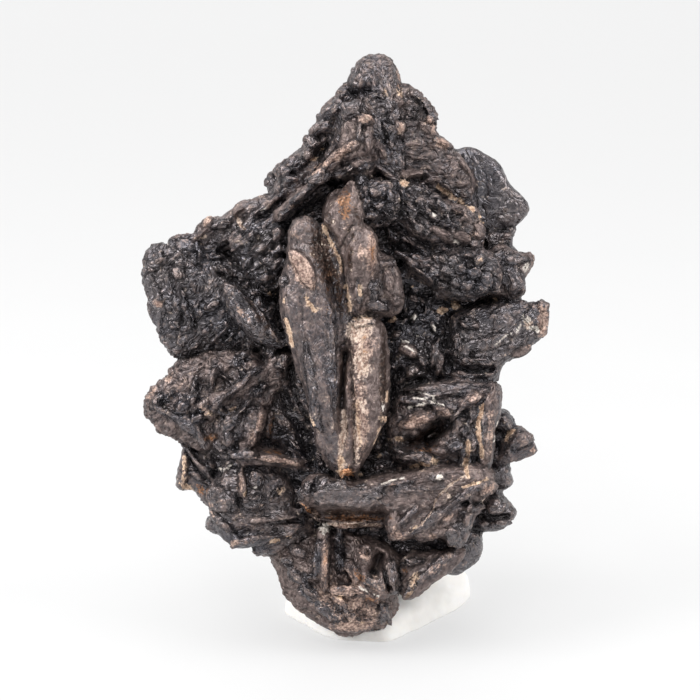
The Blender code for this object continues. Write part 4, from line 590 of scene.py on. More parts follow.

# %% [markdown]
# ## Stains, and some painted shade and light
#
# The brown, rust, ochre and white on the stone are iron stains and crusts of clay. The umber ovals are partly
# a dark brown crust and partly painted shade, laid in the cavity, in the hollow under the ledge, in the web
# between the tall blades and on flanks turned from the light. The pale ovals on the ledge's lip are partly its
# pinkish-tan crust and partly painted light, where its edge catches light from above. Each is an oval on the
# paper: its middle, half length, half width, heading and strength. The material breaks their edges up.

# %% The stains
STAINS = {
    # umber: dark brown crust, and painted shade in the cavity, under the ledge, in the web between the blades
    # and on flanks turned from the light
    "umber_and_shade": [
        (325, 262, 44, 12, -72, 1.25), (350, 262, 20, 4, 86, 1.0), (340, 300, 34, 6, -80, 0.9),
        (330, 222, 12, 5, -50, 0.8), (352, 240, 10, 4, -55, 0.8), (382, 372, 56, 5, 89, 1.1),
        (262, 318, 34, 8, -52, 0.6), (424, 435, 26, 9, 28, 1.1), (346, 510, 42, 5.5, 0, 1.1),
        (328, 236, 10, 5, -60, 0.9), (357, 220, 16, 4, -75, 0.8)],
    "tan": [
        (304, 273, 24, 10, -58, 1.4), (297, 240, 8, 5, -50, 0.5), (344, 226, 18, 8, 85, 0.55),
        (371, 256, 24, 7, 88, 1.2), (360, 258, 18, 5, 88, 0.7), (362, 350, 32, 14, 88, 1.0),
        (360, 412, 52, 10, 92, 1.0), (376, 345, 22, 5, 88, 0.5), (347, 375, 26, 3, 92, 0.6),
        (347, 440, 30, 4, 92, 0.5), (397, 84, 16, 4, 92, 0.9), (366, 127, 10, 7, 0, 0.9),
        (431, 131, 13, 7, -50, 0.8), (440, 148, 12, 6, -25, 1.0), (399, 134, 7, 4, 90, 1.0),
        (341, 160, 25, 6, 38, 0.95), (320, 173, 22, 7, 40, 0.8), (380, 155, 10, 5, 60, 0.5),
        (294, 212, 9, 4, 30, 0.6), (529, 268, 14, 4, 78, 1.0), (540, 321, 19, 10, 95, 1.2),
        (528, 345, 9, 5, 40, 0.6), (407, 351, 10, 6, -28, 0.55), (415, 420, 21, 8, 20, 1.0),
        (441, 411, 13, 5, -15, 0.7), (487, 425, 40, 7, 88, 0.62), (468, 397, 12, 6, 30, 0.7),
        (531, 449, 6, 4, 20, 1.0), (520, 440, 14, 9, 20, 0.3), (391, 481, 10, 2.5, 5, 0.9),
        # The tan oval at row 522.5, on the ledge's lip, is partly its pinkish-tan crust and partly painted
        # light, pale where the lip's edge catches light from above.
        (350, 517, 36, 4, 0, 0.75), (354, 522.5, 36, 3.4, 0, 1.6), (162, 305, 6.5, 5, 20, 1.2),
        (376, 516, 9, 4, 0, 0.8), (312, 513, 12, 3, -42, 1.5), (352, 596, 52, 36, -20, 0.7),
        (232, 540, 26, 4, 8, 0.8), (212, 503, 6, 14, 0, 0.7), (180, 390, 30, 5, 50, 0.4),
        (258, 505, 30, 5, 20, 0.35), (313, 509, 12, 6, -45, 0.9), (486, 486, 10, 6, 30, 0.9),
        (446, 514, 9, 4, 45, 0.9), (431, 532, 6, 4, 0, 0.9), (397, 531, 12, 6, -28, 0.9),
        (326, 558, 30, 4, 88, 0.95), (364, 551, 9, 10, 0, 0.8), (376, 576, 14, 10, 0, 0.5),
        (355, 622, 38, 9, 5, 0.8), (436, 563, 24, 8, 42, 0.5), (160, 304, 7, 5, 0, 0.9),
        (246, 314, 15, 6, -50, 0.7), (172, 377, 9, 4, 60, 0.9), (153, 393, 11, 4, 50, 0.9),
        (206, 410, 14, 10, 0, 0.5), (262, 420, 12, 4.5, 75, 0.95), (255, 436, 8, 4.5, 75, 0.9),
        (281, 459, 25, 5, -8, 0.95), (243, 480, 15, 4, 86, 0.8), (212, 512, 10, 3, -70, 0.7),
        (222, 495, 12, 8, 80, 0.35), (188, 244, 10, 6, 0, 0.5), (210, 224, 8, 4, 60, 0.9),
        (455, 215, 14, 7, -20, 0.5), (448, 265, 20, 8, 0, 0.3), (470, 238, 12, 6, 10, 0.5),
        (450, 475, 16, 4, 20, 0.5)],
    "ochre": [
        (358, 425, 34, 3, 92, 0.75), (361, 319, 12, 3, 0, 1.0), (359, 472, 4, 4, 0, 0.7),
        (383, 417, 5, 5, 0, 0.9), (385, 100, 4, 2, -60, 0.7), (399, 101, 6, 3, -70, 0.7),
        (315, 164, 4, 2, 20, 1.0), (323, 154, 3, 1.8, 40, 1.0), (402, 188, 6, 4.5, -20, 1.0),
        (456, 203, 7, 2.4, -20, 1.0), (467, 211, 4, 1.6, -40, 1.0), (442, 311, 6.5, 3, 10, 1.5),
        (454, 306, 5, 4, 15, 1.5), (391, 321, 6, 2.5, 25, 1.4), (399, 437, 4.5, 3, 0, 1.0),
        (418, 465, 7, 3, 0, 0.7), (433, 458, 4, 4, 0, 1.0), (446, 459, 3, 2, 0, 0.9),
        (413, 523, 5, 2, 25, 0.8), (340, 593, 3, 2, 0, 1.0), (378, 605, 2.4, 2, 0, 1.0),
        (362, 620, 2, 2, 0, 1.0), (413, 577, 11, 4, 70, 0.7), (408, 590, 5, 3, 30, 0.9),
        (273, 295, 4.5, 2, 0, 1.0), (286, 302, 3, 1.5, 80, 1.0), (211, 413, 4, 3, 0, 0.7),
        (235, 408, 6, 2.5, 30, 0.9), (186, 468, 22, 3.0, 86, 0.7), (187, 486, 9, 4, -20, 0.9),
        (247, 491, 3, 1.4, 10, 1.0), (281, 489, 6, 3, 45, 0.7), (276, 538, 6, 2, 5, 1.0),
        (290, 534, 3, 1.8, 0, 1.0), (412, 288, 2, 1.5, 0, 1.0), (477, 262, 2, 1.5, 60, 1.0),
        (494, 300, 3, 1.5, -20, 1.0), (390, 438, 3, 1.5, 0, 0.6), (379, 454, 4, 3, 30, 0.7)],
    "cream": [
        (359, 332, 19, 14, 75, 1.15), (361, 362, 24, 11, 88, 1.0), (362, 400, 22, 6, 92, 0.7),
        (356, 440, 30, 4, 92, 0.9), (345, 462, 3, 6, 0, 0.7), (526, 325, 9, 7, -30, 0.9),
        # The first two cream ovals lie on the ledge's lip: partly its pinkish-tan crust and partly painted
        # light, where its edge catches light from above.
        (352, 521.5, 33, 2.8, 0, 1.25), (316, 515.5, 10, 3.2, -40, 1.2), (437, 475, 7, 4, 0, 0.6)],
    "rust": [
        (345, 210, 20, 9, 85, 1.0), (371, 258, 18, 5, 88, 0.7), (330, 290, 40, 7, 88, 0.4),
        (365, 345, 30, 9, 88, 0.5), (358, 410, 34, 6, 92, 0.4), (398, 92, 8, 3, 92, 0.5),
        (368, 131, 5, 4, 0, 0.6), (436, 145, 7, 4, -25, 0.5), (328, 170, 10, 5, 38, 0.4),
        (425, 447, 21, 6, 0, 0.6), (352, 515, 38, 4, 0, 1.1), (487, 485, 7, 4, 30, 0.5),
        (326, 558, 30, 4, 88, 0.5), (359, 572, 16, 6, -60, 0.7), (370, 596, 14, 6, -20, 0.7),
        (404, 568, 6, 5, 0, 0.6), (213, 436, 8, 5, 0, 1.0), (272, 425, 15, 4, 80, 0.7),
        (278, 451, 16, 4, -5, 0.7), (205, 488, 10, 7, -30, 0.9), (204, 236, 9, 4, 40, 0.5)],
    "amber": [
        # The second amber oval is on the left end of the ledge's lip: partly its crust and partly painted
        # light.
        (347, 470.5, 8, 6, 10, 1.5), (308, 507, 9, 2.6, -52, 1.0)],
    "white": [
        (383, 406, 4, 2.5, 80, 1.0), (453, 245, 5, 2, 0, 1.0), (432, 219, 2.5, 2, 0, 1.0),
        (524, 268, 6, 3, 80, 0.9), (525, 320, 4, 3, 60, 1.0), (531, 329, 7, 3, -25, 1.0),
        (413, 317, 4, 2.5, 40, 0.9), (417, 335, 3, 2, 0, 1.0), (433, 328, 4, 2.2, -60, 1.0),
        (437, 474, 4, 3, 0, 1.0), (325, 526, 7, 5, -30, 1.5), (257, 485, 2, 1.5, 0, 1.0)],
}
print("stains:", {colour: len(ovals) for colour, ovals in STAINS.items()})

# %% [markdown]
# ## From drawings to one lump
#
# A sphere is pulled out to each outline. The spheres overlap, and a voxel remesh fuses them into one skin,
# as water does with wet clay. A Boolean union would keep every intersection curve but is slow and brittle
# with over five hundred shapes, and a remesh also evens the mesh out, which the puckering needs.

# %% Smooth outlines
CURVE_STEPS = 10  # points on each stretch of a curve, before they are spaced evenly


def smooth_loop(points, count):
    """count points evenly spaced along a smooth closed curve through the given ones (Catmull-Rom)."""
    loop = [Vector(p) for p in points]
    fine = []
    for i, here in enumerate(loop):
        before, after, beyond = loop[i - 1], loop[(i + 1) % len(loop)], loop[(i + 2) % len(loop)]
        for k in range(CURVE_STEPS):
            t = k / CURVE_STEPS
            fine.append(0.5 * (2 * here + (after - before) * t
                               + (2 * before - 5 * here + 4 * after - beyond) * t * t
                               + (3 * here - before - 3 * after + beyond) * t ** 3))
    lengths = [(fine[(i + 1) % len(fine)] - p).length for i, p in enumerate(fine)]
    total, found, passed, i = sum(lengths), [], 0.0, 0
    for k in range(count):
        target = total * k / count
        while passed + lengths[i] < target:
            passed += lengths[i]
            i += 1
        share = (target - passed) / max(lengths[i], 1e-9)
        found.append(fine[i].lerp(fine[(i + 1) % len(fine)], share))
    return found


# %% Pillows


def unit_sphere(segments, rings):
    """The corners and faces of a sphere of radius 1, its poles on the z axis."""
    bm = bmesh.new()
    bmesh.ops.create_uvsphere(bm, u_segments=segments, v_segments=rings, radius=1.0)
    bm.verts.ensure_lookup_table()
    corners = [vert.co.copy() for vert in bm.verts]
    faces = [[vert.index for vert in face.verts] for face in bm.faces]
    bm.free()
    return corners, faces


def squared(value, square):
    """A sphere's coordinate, pushed outwards for flat sides and a tight rim."""
    return math.copysign(min(1.0, abs(value)) ** (2 / square), value)


def pillow(sphere, segments, outline, square):
    """Pulls a sphere's equator out to an outline. Yields two coordinates, its middle and the rise."""
    rim = smooth_loop(outline, segments)
    centre = sum(rim, Vector((0, 0))) / segments
    for corner in sphere:
        turn = math.atan2(corner.y, corner.x) / (2 * math.pi) * segments
        reach = squared(math.hypot(corner.x, corner.y), square)
        across, along = centre + (rim[round(turn) % segments] - centre) * reach
        yield across, along, centre, squared(corner.z, square)


# %% Spheres pulled into plates
PLATE_SEGMENTS, PLATE_RINGS = 40, 16
WARP_DEPTH, WARP_SIZE = 1.6, 13.0  # millimetres: the waviness of every plate, and the length of one wave
fine_plates = [plate._replace(outline=[from_square(*corner) for corner in plate.outline])
               for plate in FINE_PLATES]
all_plates = [*PLATES, *fine_plates, *back_lobes]
skins = [plate.skin for plate in all_plates]
points, faces, owners = [], [], []  # an owner is the place in skins of the plate or crystal that a face is on
plate_sphere, plate_faces = unit_sphere(PLATE_SEGMENTS, PLATE_RINGS)
for number, plate in enumerate(all_plates):
    first = len(points)
    faces += [[first + i for i in face] for face in plate_faces]
    owners += [number] * len(plate_faces)
    for u, v, centre, rise in pillow(plate_sphere, PLATE_SEGMENTS, plate.outline, plate.square):
        depth = plate.depth + plate.lean_u * (u - centre.x) + plate.lean_v * (v - centre.y)
        wave = noise.noise(Vector((u, depth, v)) / WARP_SIZE)
        points.append(on_board(u, v, depth + rise * plate.thick / 2 + WARP_DEPTH * wave))
plate_tree = BVHTree.FromPolygons(points, faces)
print(len(all_plates), "plates:", len(points), "points")

# %% [markdown]
# Each small crystal is a sphere too, made uneven. It is laid where the foremost plate is, and follows that
# plate's slope part of the way, as a crystal does that grew on it.

# %% Lay the crystals on the face
CHIP_SEGMENTS, CHIP_RINGS = 16, 10
CHIP_WARP, CHIP_WARP_SIZE = 0.45, 1.3  # how uneven each crystal is, and how many bumps it has
CHIP_STEP = 0.37  # a step that gives each crystal a warp of its own
FEEL, FOLLOW, FOLLOW_MOST = 0.8, 0.6, 2.0  # where the slope is felt, the share followed, and the most in mm
FAR = 90  # millimetres, past any plate
chip_sphere, chip_faces = unit_sphere(CHIP_SEGMENTS, CHIP_RINGS)


def surface_depth(u, v, side=1):
    """The depth of the foremost plate at a place on the board, or of the hindmost for side -1."""
    hit = plate_tree.ray_cast(on_board(u, v, -FAR * side), AWAY * side)
    return side * (-FAR + hit[3] / MM) if hit[0] else None


def add_crystal(column, row, length, width, heading, stand, letter, side=1):
    """Lays one crystal on the plates, following their slope, and notes its skin."""
    u, v = from_square(column, row)
    face_depth = surface_depth(u, v, side)
    if face_depth is None:
        return False
    first = len(points)
    along, across = length * SQUARE, width * SQUARE
    inward = max(stand, min(along, across))
    turn = math.radians(heading)
    for corner in chip_sphere:
        uneven = 1 + CHIP_WARP * noise.noise(Vector((column, row, 0)) * CHIP_STEP + corner * CHIP_WARP_SIZE)
        x, y, z = (squared(value, CHIP_EDGES[letter]) * uneven for value in corner)
        du = along * x * math.cos(turn) - across * y * math.sin(turn)
        dv = along * x * math.sin(turn) + across * y * math.cos(turn)
        there = surface_depth(u + du * FEEL, v + dv * FEEL, side)
        follow = 0.0 if there is None else max(-FOLLOW_MOST, min(FOLLOW_MOST, there - face_depth))
        depth = face_depth + FOLLOW * follow + side * (inward - stand + inward * z)
        points.append(on_board(u + du, v + dv, depth))
    faces.extend([first + i for i in face] for face in chip_faces)
    owners.extend([len(skins)] * len(chip_faces))
    skins.append(CHIP_SKINS[letter]._replace(heading=heading if length >= width else heading + 90))
    return True


on_the_face = [add_crystal(*chip) for chip in CHIPS]
print("crystals on the face:", sum(on_the_face), "of", len(on_the_face))

# %% [markdown]
# The crystals on the back are thrown like dice: the same kinds and sizes as on the face. One that falls too
# near the outline is left out, because it would change the stone's shape as seen from the front.

# %% Crystals on the back
BACK_THROWS, THROW_SEED = 240, 8
THROW_COLUMNS, THROW_ROWS = (180, 520), (90, 590)  # squares
THROW_LENGTH, THROW_SLIM, THROW_STAND = (8, 26), (0.3, 0.8), (1.2, 3.0)  # squares, width by length, mm
THROW_KINDS = "wmsbwmk"
RIM = 2.0  # millimetres between a crystal on the back and the outline


def well_inside(column, row, length):
    """Whether the plates go on past a crystal's tips in all of eight directions."""
    u, v = from_square(column, row)
    reach = length * SQUARE + RIM
    ways = [math.radians(45 * i) for i in range(8)]
    return all(surface_depth(u + reach * math.cos(way), v + reach * math.sin(way)) is not None
               for way in ways)


dice = random.Random(THROW_SEED)
on_the_back = 0
for _ in range(BACK_THROWS):
    column, row = dice.uniform(*THROW_COLUMNS), dice.uniform(*THROW_ROWS)
    length, slim = dice.uniform(*THROW_LENGTH), dice.uniform(*THROW_SLIM)
    heading, stand, letter = dice.uniform(0, 180), dice.uniform(*THROW_STAND), dice.choice(THROW_KINDS)
    if well_inside(column, row, length):
        on_the_back += add_crystal(column, row, length, length * slim, heading, stand, letter, -1)
print("crystals on the back:", on_the_back)
print("with the crystals:", len(points), "points")

# %% [markdown]
# The fused skin's grid is just under half a millimetre, fine enough for creases 1 mm wide. What is finer is
# left to the material's bump.

# %% Make, apply and fuse


def mesh_object(name, points, faces):
    """A new object in the scene, with a mesh of the given points and faces."""
    mesh = bpy.data.meshes.new(name)
    mesh.from_pydata(points, [], faces)
    obj = bpy.data.objects.new(name, mesh)
    bpy.context.scene.collection.objects.link(obj)
    return obj


def apply_modifiers(obj):
    """Makes what the modifiers show the object's own mesh."""
    bpy.context.view_layer.update()
    graph = bpy.context.evaluated_depsgraph_get()
    made = bpy.data.meshes.new_from_object(obj.evaluated_get(graph))
    obj.modifiers.clear()
    obj.data = made


def fuse(obj, voxel, rounds):
    """Fuses overlapping shapes into one skin, on a grid in millimetres, and relaxes it."""
    remesh = obj.modifiers.new("fuse", "REMESH")
    remesh.mode = "VOXEL"
    remesh.voxel_size = voxel * MM
    relax = obj.modifiers.new("relax", "SMOOTH")
    relax.factor = 0.5
    relax.iterations = rounds
    apply_modifiers(obj)


# %% Keep only the largest shell


def rows_of(items, name, width=3, kind=float):
    """One property of all of a mesh's points, normals or edges, as the rows of an array."""
    flat = np.empty(len(items) * width, dtype=kind)
    items.foreach_get(name, flat)
    return flat.reshape(-1, width)


def drop_inner_shells(obj):
    """Keeps the largest shell: fusing leaves small ones inside, where plates enclose a pocket."""
    near, far = rows_of(obj.data.edges, "vertices", 2, int).T
    label = np.arange(len(obj.data.vertices))
    while True:
        low = np.minimum(label[near], label[far])
        new = label.copy()
        np.minimum.at(new, near, low)
        np.minimum.at(new, far, low)
        new = new[new]
        if (new == label).all():
            break
        label = new
    names, counts = np.unique(label, return_counts=True)
    inner = label != names[counts.argmax()]
    bm = bmesh.new()
    bm.from_mesh(obj.data)
    bm.verts.ensure_lookup_table()
    bmesh.ops.delete(bm, geom=[bm.verts[i] for i in np.flatnonzero(inner)], context="VERTS")
    bm.to_mesh(obj.data)
    bm.free()
    return len(names) - 1


# %% Fuse them
VOXEL = 0.46  # millimetres
stone = mesh_object("stone_crust", points, faces)
fuse(stone, VOXEL, 1)
print("inner shells dropped:", drop_inner_shells(stone), "points:", len(stone.data.vertices))

# %% [markdown]
# ## Which skin is where
#
# Each point of the fused skin takes the numbers of the plate or crystal that lies nearest. The numbers are
# then spread a little over the mesh, so that one kind of skin runs into the next.

# %% Skins onto points
SKIN_ROUNDS = 3


def spread(mesh, values, rounds):
    """Averages values over each point's neighbours, a number of times."""
    near, far = rows_of(mesh.edges, "vertices", 2, int).T
    count = np.bincount(near, minlength=len(values)) + np.bincount(far, minlength=len(values))
    values = values.astype(float)
    for _ in range(rounds):
        if values.ndim == 1:
            total = np.bincount(near, values[far], len(values)) + np.bincount(far, values[near], len(values))
            values = 0.5 * values + 0.5 * total / count
        else:
            values = np.stack([spread(mesh, part, 1) for part in values.T], axis=1)
    return values


shape_tree = BVHTree.FromPolygons(points, faces)
places = rows_of(stone.data.vertices, "co")
nearest = [owners[shape_tree.find_nearest(Vector(place))[2]] for place in places]
pucker, streak, heading, brown = np.array(skins, dtype=float)[nearest].T
pucker, streak, brown = (spread(stone.data, values, SKIN_ROUNDS) for values in (pucker, streak, brown))
print("puckered share", round(float((pucker > 0.6).mean()), 2))

# %% [markdown]
# ## Puckers, streaks and lumps
#
# The puckered skin is a field of small pillows with narrow creases between them, 1 to 3 mm across, like
# dried clay or a raisin. A cell pattern gives this: the crease is where two cells meet. The streaks are
# ridges drawn out ten times longer than wide. Both are real shape here and not bump, because the light
# catches each pucker's edge.

# %% The sizes of puckers and streaks
PUCKER_SIZE, PUCKER_DEPTH = 2.7, 0.62  # millimetres, as are all sizes, depths and bends
FOLD_SIZE, FOLD_DEPTH, FOLD_STRETCH = 2.3, 0.75, 2.0  # and how many times longer than wide
FINE_SIZE, FINE_DEPTH = 1.5, 0.30
BEND_SIZE, BEND = 3.4, 1.5  # how the creases wander
LUMP_SIZE, LUMP_DEPTH = 5.0, 0.8
STREAK_WIDTH, STREAK_LENGTH, STREAK_LAYER, STREAK_DEPTH = 1.1, 12.0, 2.5, 0.45
BROAD_WIDTH, BROAD_LENGTH, BROAD_LAYER = 2.6 * STREAK_WIDTH, 2 * STREAK_LENGTH, 4.0
BROAD_SHIFT = 7  # keeps the broad streaks from lying on the narrow ones
STREAK_BEND_SIZE, STREAK_BEND = 6.0, 1.1
STREAK_LEAST, STREAK_LEVEL, STREAK_CUT, BROAD_RISE = 0.05, 0.4, 1.8, 1.1  # shares of a streak's depth
CELL_STEEP, CELL_ROUND, FOLD_STEEP, FOLD_ROUND = 2.4, 0.6, 2.8, 0.8  # how a bump rises out of its crease
LUMPS_ALWAYS, FOLDS_ALWAYS, FINE_ALWAYS = 0.4, 0.1, 0.15  # what even the smoothest skin has of each
SHRINK = 0.3  # the whole skin goes in by this much, to keep the outline where it was drawn
LEVEL = 0.6  # a bump this high leaves the skin where it is
NOISE_SEED = 3
noise.seed_set(NOISE_SEED)  # the bends come out the same on every run
print("folds in all:", round(PUCKER_DEPTH + FOLD_DEPTH + FINE_DEPTH, 2), "mm deep at most")

# %% How far the skin is pushed


def cells(place):
    """1 in the middle of a cell and 0 in the crease between two."""
    first, second = noise.voronoi(place)[0][:2]
    return min(1.0, CELL_STEEP * (second - first)) ** CELL_ROUND


def folds(place):
    """Rounded bumps with narrow creases between: 0 in a crease and 1 on a bump."""
    return min(1.0, FOLD_STEEP * abs(noise.noise(place))) ** FOLD_ROUND


def push_out(place, pucker, streak, turn):
    """How far the skin is pushed out at a place, in millimetres."""
    x, y, z = place
    along = x * math.cos(turn) + z * math.sin(turn)
    across = z * math.cos(turn) - x * math.sin(turn)
    drawn = Vector((along / FOLD_STRETCH, across, y)) + BEND * noise.noise_vector(place / BEND_SIZE)
    total = LUMP_DEPTH * noise.noise(place / LUMP_SIZE) * (LUMPS_ALWAYS + pucker)
    total += PUCKER_DEPTH * pucker * (cells(drawn / PUCKER_SIZE) - LEVEL)
    total += FOLD_DEPTH * (FOLDS_ALWAYS + pucker) * (folds(drawn / FOLD_SIZE) - LEVEL)
    total += FINE_DEPTH * (FINE_ALWAYS + pucker) * (cells(drawn / FINE_SIZE) - LEVEL)
    if streak > STREAK_LEAST:
        bent = across + STREAK_BEND * noise.noise(place / STREAK_BEND_SIZE)
        lines = noise.noise(Vector((along / STREAK_LENGTH, bent / STREAK_WIDTH, y / STREAK_LAYER)))
        broad = noise.noise(Vector((along / BROAD_LENGTH, bent / BROAD_WIDTH, y / BROAD_LAYER + BROAD_SHIFT)))
        total += STREAK_DEPTH * streak * (STREAK_LEVEL - STREAK_CUT * abs(lines) + BROAD_RISE * broad)
    return total


# %% Push the skin in and out
TOOTH, TOOTH_ROUNDS = 0.2, 3  # millimetres, and rounds of settling
turns = np.radians(heading)
in_mm = places / MM
pushes = np.array([push_out(Vector(place), p, s, t) for place, p, s, t in zip(in_mm, pucker, streak, turns)])
out = rows_of(stone.data.vertex_normals, "vector")
skin = places + out * ((pushes - SHRINK) * MM)[:, None]


def settle(mesh, points, most, rounds):
    """Pulls in stray teeth: a point may stand only so many millimetres off the middle of its neighbours."""
    for _ in range(rounds):
        middle = 2 * spread(mesh, points, 1) - points
        off = points - middle
        length = np.linalg.norm(off, axis=1) / MM
        points = middle + off * np.minimum(1.0, most / np.maximum(length, 1e-9))[:, None]
    return points


skin = settle(stone.data, skin, TOOTH, TOOTH_ROUNDS)
print("pushed by", round(float(pushes.min()), 2), "to", round(float(pushes.max()), 2), "mm")

# %% [markdown]
# ## Cut the lines and lay the stains
#
# The lines and stains are on the paper, and they belong to whatever faces the board there. So first each
# square of paper notes the foremost depth behind it. A point within about 2 mm of that, and not facing away,
# is on the face.

# %% Which points are on the face
FACE_DEPTH = 2.2  # millimetres
EDGE_ON = -0.1  # a little less than side-on to the board
columns, rows, depths = to_board(skin)
paper = np.full((PAGE, PAGE), np.inf)
cell = (np.clip(rows, 0, PAGE - 1).astype(int), np.clip(columns, 0, PAGE - 1).astype(int))
np.minimum.at(paper, cell, depths)
for axis in (0, 1):
    paper = np.minimum(paper, np.minimum(np.roll(paper, 1, axis), np.roll(paper, -1, axis)))
facing = -(out @ np.array(AWAY))
on_face = (depths - paper[cell] < FACE_DEPTH) & (facing > EDGE_ON)
print("points on the face:", int(on_face.sum()))

# %% [markdown]
# A line's or a stain's edge wobbles, as a real one's does. Where lines cross, the deeper one is cut, and
# where stains overlap, the stronger one shows.

# %% Lines and stains onto points
WOBBLE_SIZE, LINE_WOBBLE, STAIN_WOBBLE = 1.6, 0.5, 0.35  # millimetres, and shares of the distance
GROOVE_REACH, VEIN_REACH, WHITE_REACH = 2.0, 2.4, 1.7  # in half widths: a groove, its stain, and a white vein
LOOK_REACH, LOOK_MARGIN = 2.2, 2  # how far off a line to look for points: half widths, and squares more
STAIN_REACH = 1.5  # in half lengths and widths
wobble = np.array([noise.noise(Vector(place) / WOBBLE_SIZE) for place in in_mm])
stains = {colour: np.zeros(len(skin)) for colour in STAINS}
carve = np.zeros(len(skin))


def distance_to_line(path, pick):
    """Each picked point's distance from a line of straight pieces on the paper, in squares."""
    best = np.full(pick.sum(), np.inf)
    here = np.stack([columns[pick], rows[pick]], axis=1)
    for start, end in zip(path, path[1:]):
        start, along = np.array(start, float), np.array(end, float) - np.array(start, float)
        share = np.clip((here - start) @ along / (along @ along), 0, 1)
        best = np.minimum(best, np.linalg.norm(here - start - share[:, None] * along, axis=1))
    return best


def fade(distance, reach):
    """1 at the middle and 0 from the reach on, smoothly."""
    t = np.clip(1 - distance / reach, 0, 1)
    return t * t * (3 - 2 * t)


def stain(colour, pick, strength):
    """Stains the picked points, where they are not stained more already."""
    stains[colour][pick] = np.maximum(stains[colour][pick], strength)


# %% Cut the lines
for fill, lines in LINES.items():
    for half_width, depth, path in lines:
        far = half_width * LOOK_REACH + LOOK_MARGIN
        xs, ys = zip(*path)
        pick = on_face & (columns > min(xs) - far) & (columns < max(xs) + far)
        pick &= (rows > min(ys) - far) & (rows < max(ys) + far)
        distance = distance_to_line(path, pick) * (1 + LINE_WOBBLE * wobble[pick])
        groove = fade(distance, half_width * GROOVE_REACH) * depth
        carve[pick] = np.where(abs(groove) > abs(carve[pick]), groove, carve[pick])
        if fill != "dark":
            stain(fill, pick, fade(distance, half_width * (WHITE_REACH if fill == "white" else VEIN_REACH)))
print("points cut:", int((carve != 0).sum()))

# %% Lay the stains
# The umber ovals laid here are partly painted shade.
for colour, ovals in STAINS.items():
    for column, row, length, width, tilt, strength in ovals:
        turn = math.radians(tilt)
        dx, dy = columns - column, -(rows - row)
        along = (dx * math.cos(turn) + dy * math.sin(turn)) / length
        across = (dy * math.cos(turn) - dx * math.sin(turn)) / width
        distance = np.hypot(along, across) * (1 + STAIN_WOBBLE * wobble)
        pick = on_face & (distance < STAIN_REACH)
        stain(colour, pick, strength * fade(distance[pick], STAIN_REACH))
stained = {name: int((strength > 0).sum()) for name, strength in stains.items()}
print("points stained:", stained)

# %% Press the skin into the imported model's box
PRESS_BACK = 0.6  # the share of what stands outside that is pressed back
skin += np.array(AWAY) * (carve * MM)[:, None]
skin = settle(stone.data, skin, 2 * TOOTH, 2)
for axis, name in enumerate("xyz"):
    low, high = cad_box[0][axis], cad_box[1][axis]
    outside = np.minimum(skin[:, axis] - low, 0) + np.maximum(skin[:, axis] - high, 0)
    skin[:, axis] -= PRESS_BACK * outside
    print(name, "pressed back by up to", round(PRESS_BACK * float(abs(outside).max()) / MM, 2), "mm")
stone.data.vertices.foreach_set("co", skin.ravel())
stone.data.update()

# %% [markdown]
# ## Ridges and hollows
#
# The black skin wears brown on ridges, and its hollows are painted darker as shade. To find them, the mesh is
# smoothed away from itself: where the true surface stands outside the smoothed one it is a ridge, and inside,
# a hollow.

# %% Ridges and hollows
FINE_ROUNDS, BROAD_ROUNDS = 4, 40


def relief(mesh, rounds):
    """How far each point stands out from the smoothed surface, in millimetres."""
    here, out = rows_of(mesh.vertices, "co"), rows_of(mesh.vertex_normals, "vector")
    return ((here - spread(mesh, here, rounds)) * out).sum(axis=1) / MM


fine_relief, broad_relief = (relief(stone.data, rounds) for rounds in (FINE_ROUNDS, BROAD_ROUNDS))
print("relief, mm:", [round(float(np.percentile(broad_relief, share)), 2) for share in (2, 98)])

# %% [markdown]
# ## Thin the mesh
#
# The mesh is thinned to 192,000 triangles. One piece may have no more than 200,000 triangles. The back is
# seen less, so the thinning takes most from it: the vertex group says where to spare the mesh. The numbers
# on the points are then fetched from the nearest old point.

# %% Thin it
TRIANGLES = 192000
SPARE_MOST, SPARE_NONE_FROM, SPARE_FADE = 0.9, 8.0, 10.0  # a weight, and millimetres back from the board
SPARE_STEPS = 10
SPARE_FACTOR = 2e-4
old_tree = KDTree(len(skin))
for i, place in enumerate(skin):
    old_tree.insert(place, i)
old_tree.balance()
group = stone.vertex_groups.new(name="spare")
spare = np.clip((SPARE_NONE_FROM - depths) / SPARE_FADE, 0, 1) * SPARE_MOST
for step in range(SPARE_STEPS):
    members = np.flatnonzero((spare * SPARE_STEPS).astype(int) == step)
    group.add(members.tolist(), step / SPARE_STEPS, "REPLACE")
stone.data.calc_loop_triangles()
before = len(stone.data.loop_triangles)
thin = stone.modifiers.new("thin", "DECIMATE")
thin.ratio = min(1.0, TRIANGLES / before)
thin.vertex_group = group.name
thin.invert_vertex_group = True
thin.vertex_group_factor = SPARE_FACTOR
thin.use_collapse_triangulate = True
apply_modifiers(stone)
print("triangles:", before, "thinned to", len(stone.data.polygons))

# %% Carry the numbers over
mesh = stone.data
mesh.name = "stone_crust"
FIELDS = {
    "along": in_mm[:, 0] * np.cos(turns) + in_mm[:, 2] * np.sin(turns),
    "across": in_mm[:, 2] * np.cos(turns) - in_mm[:, 0] * np.sin(turns),
    "brown": brown, "streak": streak, "pucker": pucker,
    "fine_relief": fine_relief, "broad_relief": broad_relief, **stains,
}
source = [old_tree.find(vert.co)[1] for vert in mesh.vertices]
for name, values in FIELDS.items():
    layer = mesh.attributes.new(name, "FLOAT", "POINT")
    layer.data.foreach_set("value", values[source].astype(np.float32))
mesh.polygons.foreach_set("use_smooth", [True] * len(mesh.polygons))
print("numbers on each point:", len(FIELDS))

# %% [markdown]
# ## The putty
#
# The stone is held up by a wad of white mounting putty, a rubbery dough that is kneaded, set down and
# pressed round the stone's foot. It is made from two flat pillows, fused and pushed about by thumbs, then
# cut flat by the table. The stone's own shape is cut out of it with a thin gap, so that the two pieces never
# share space.

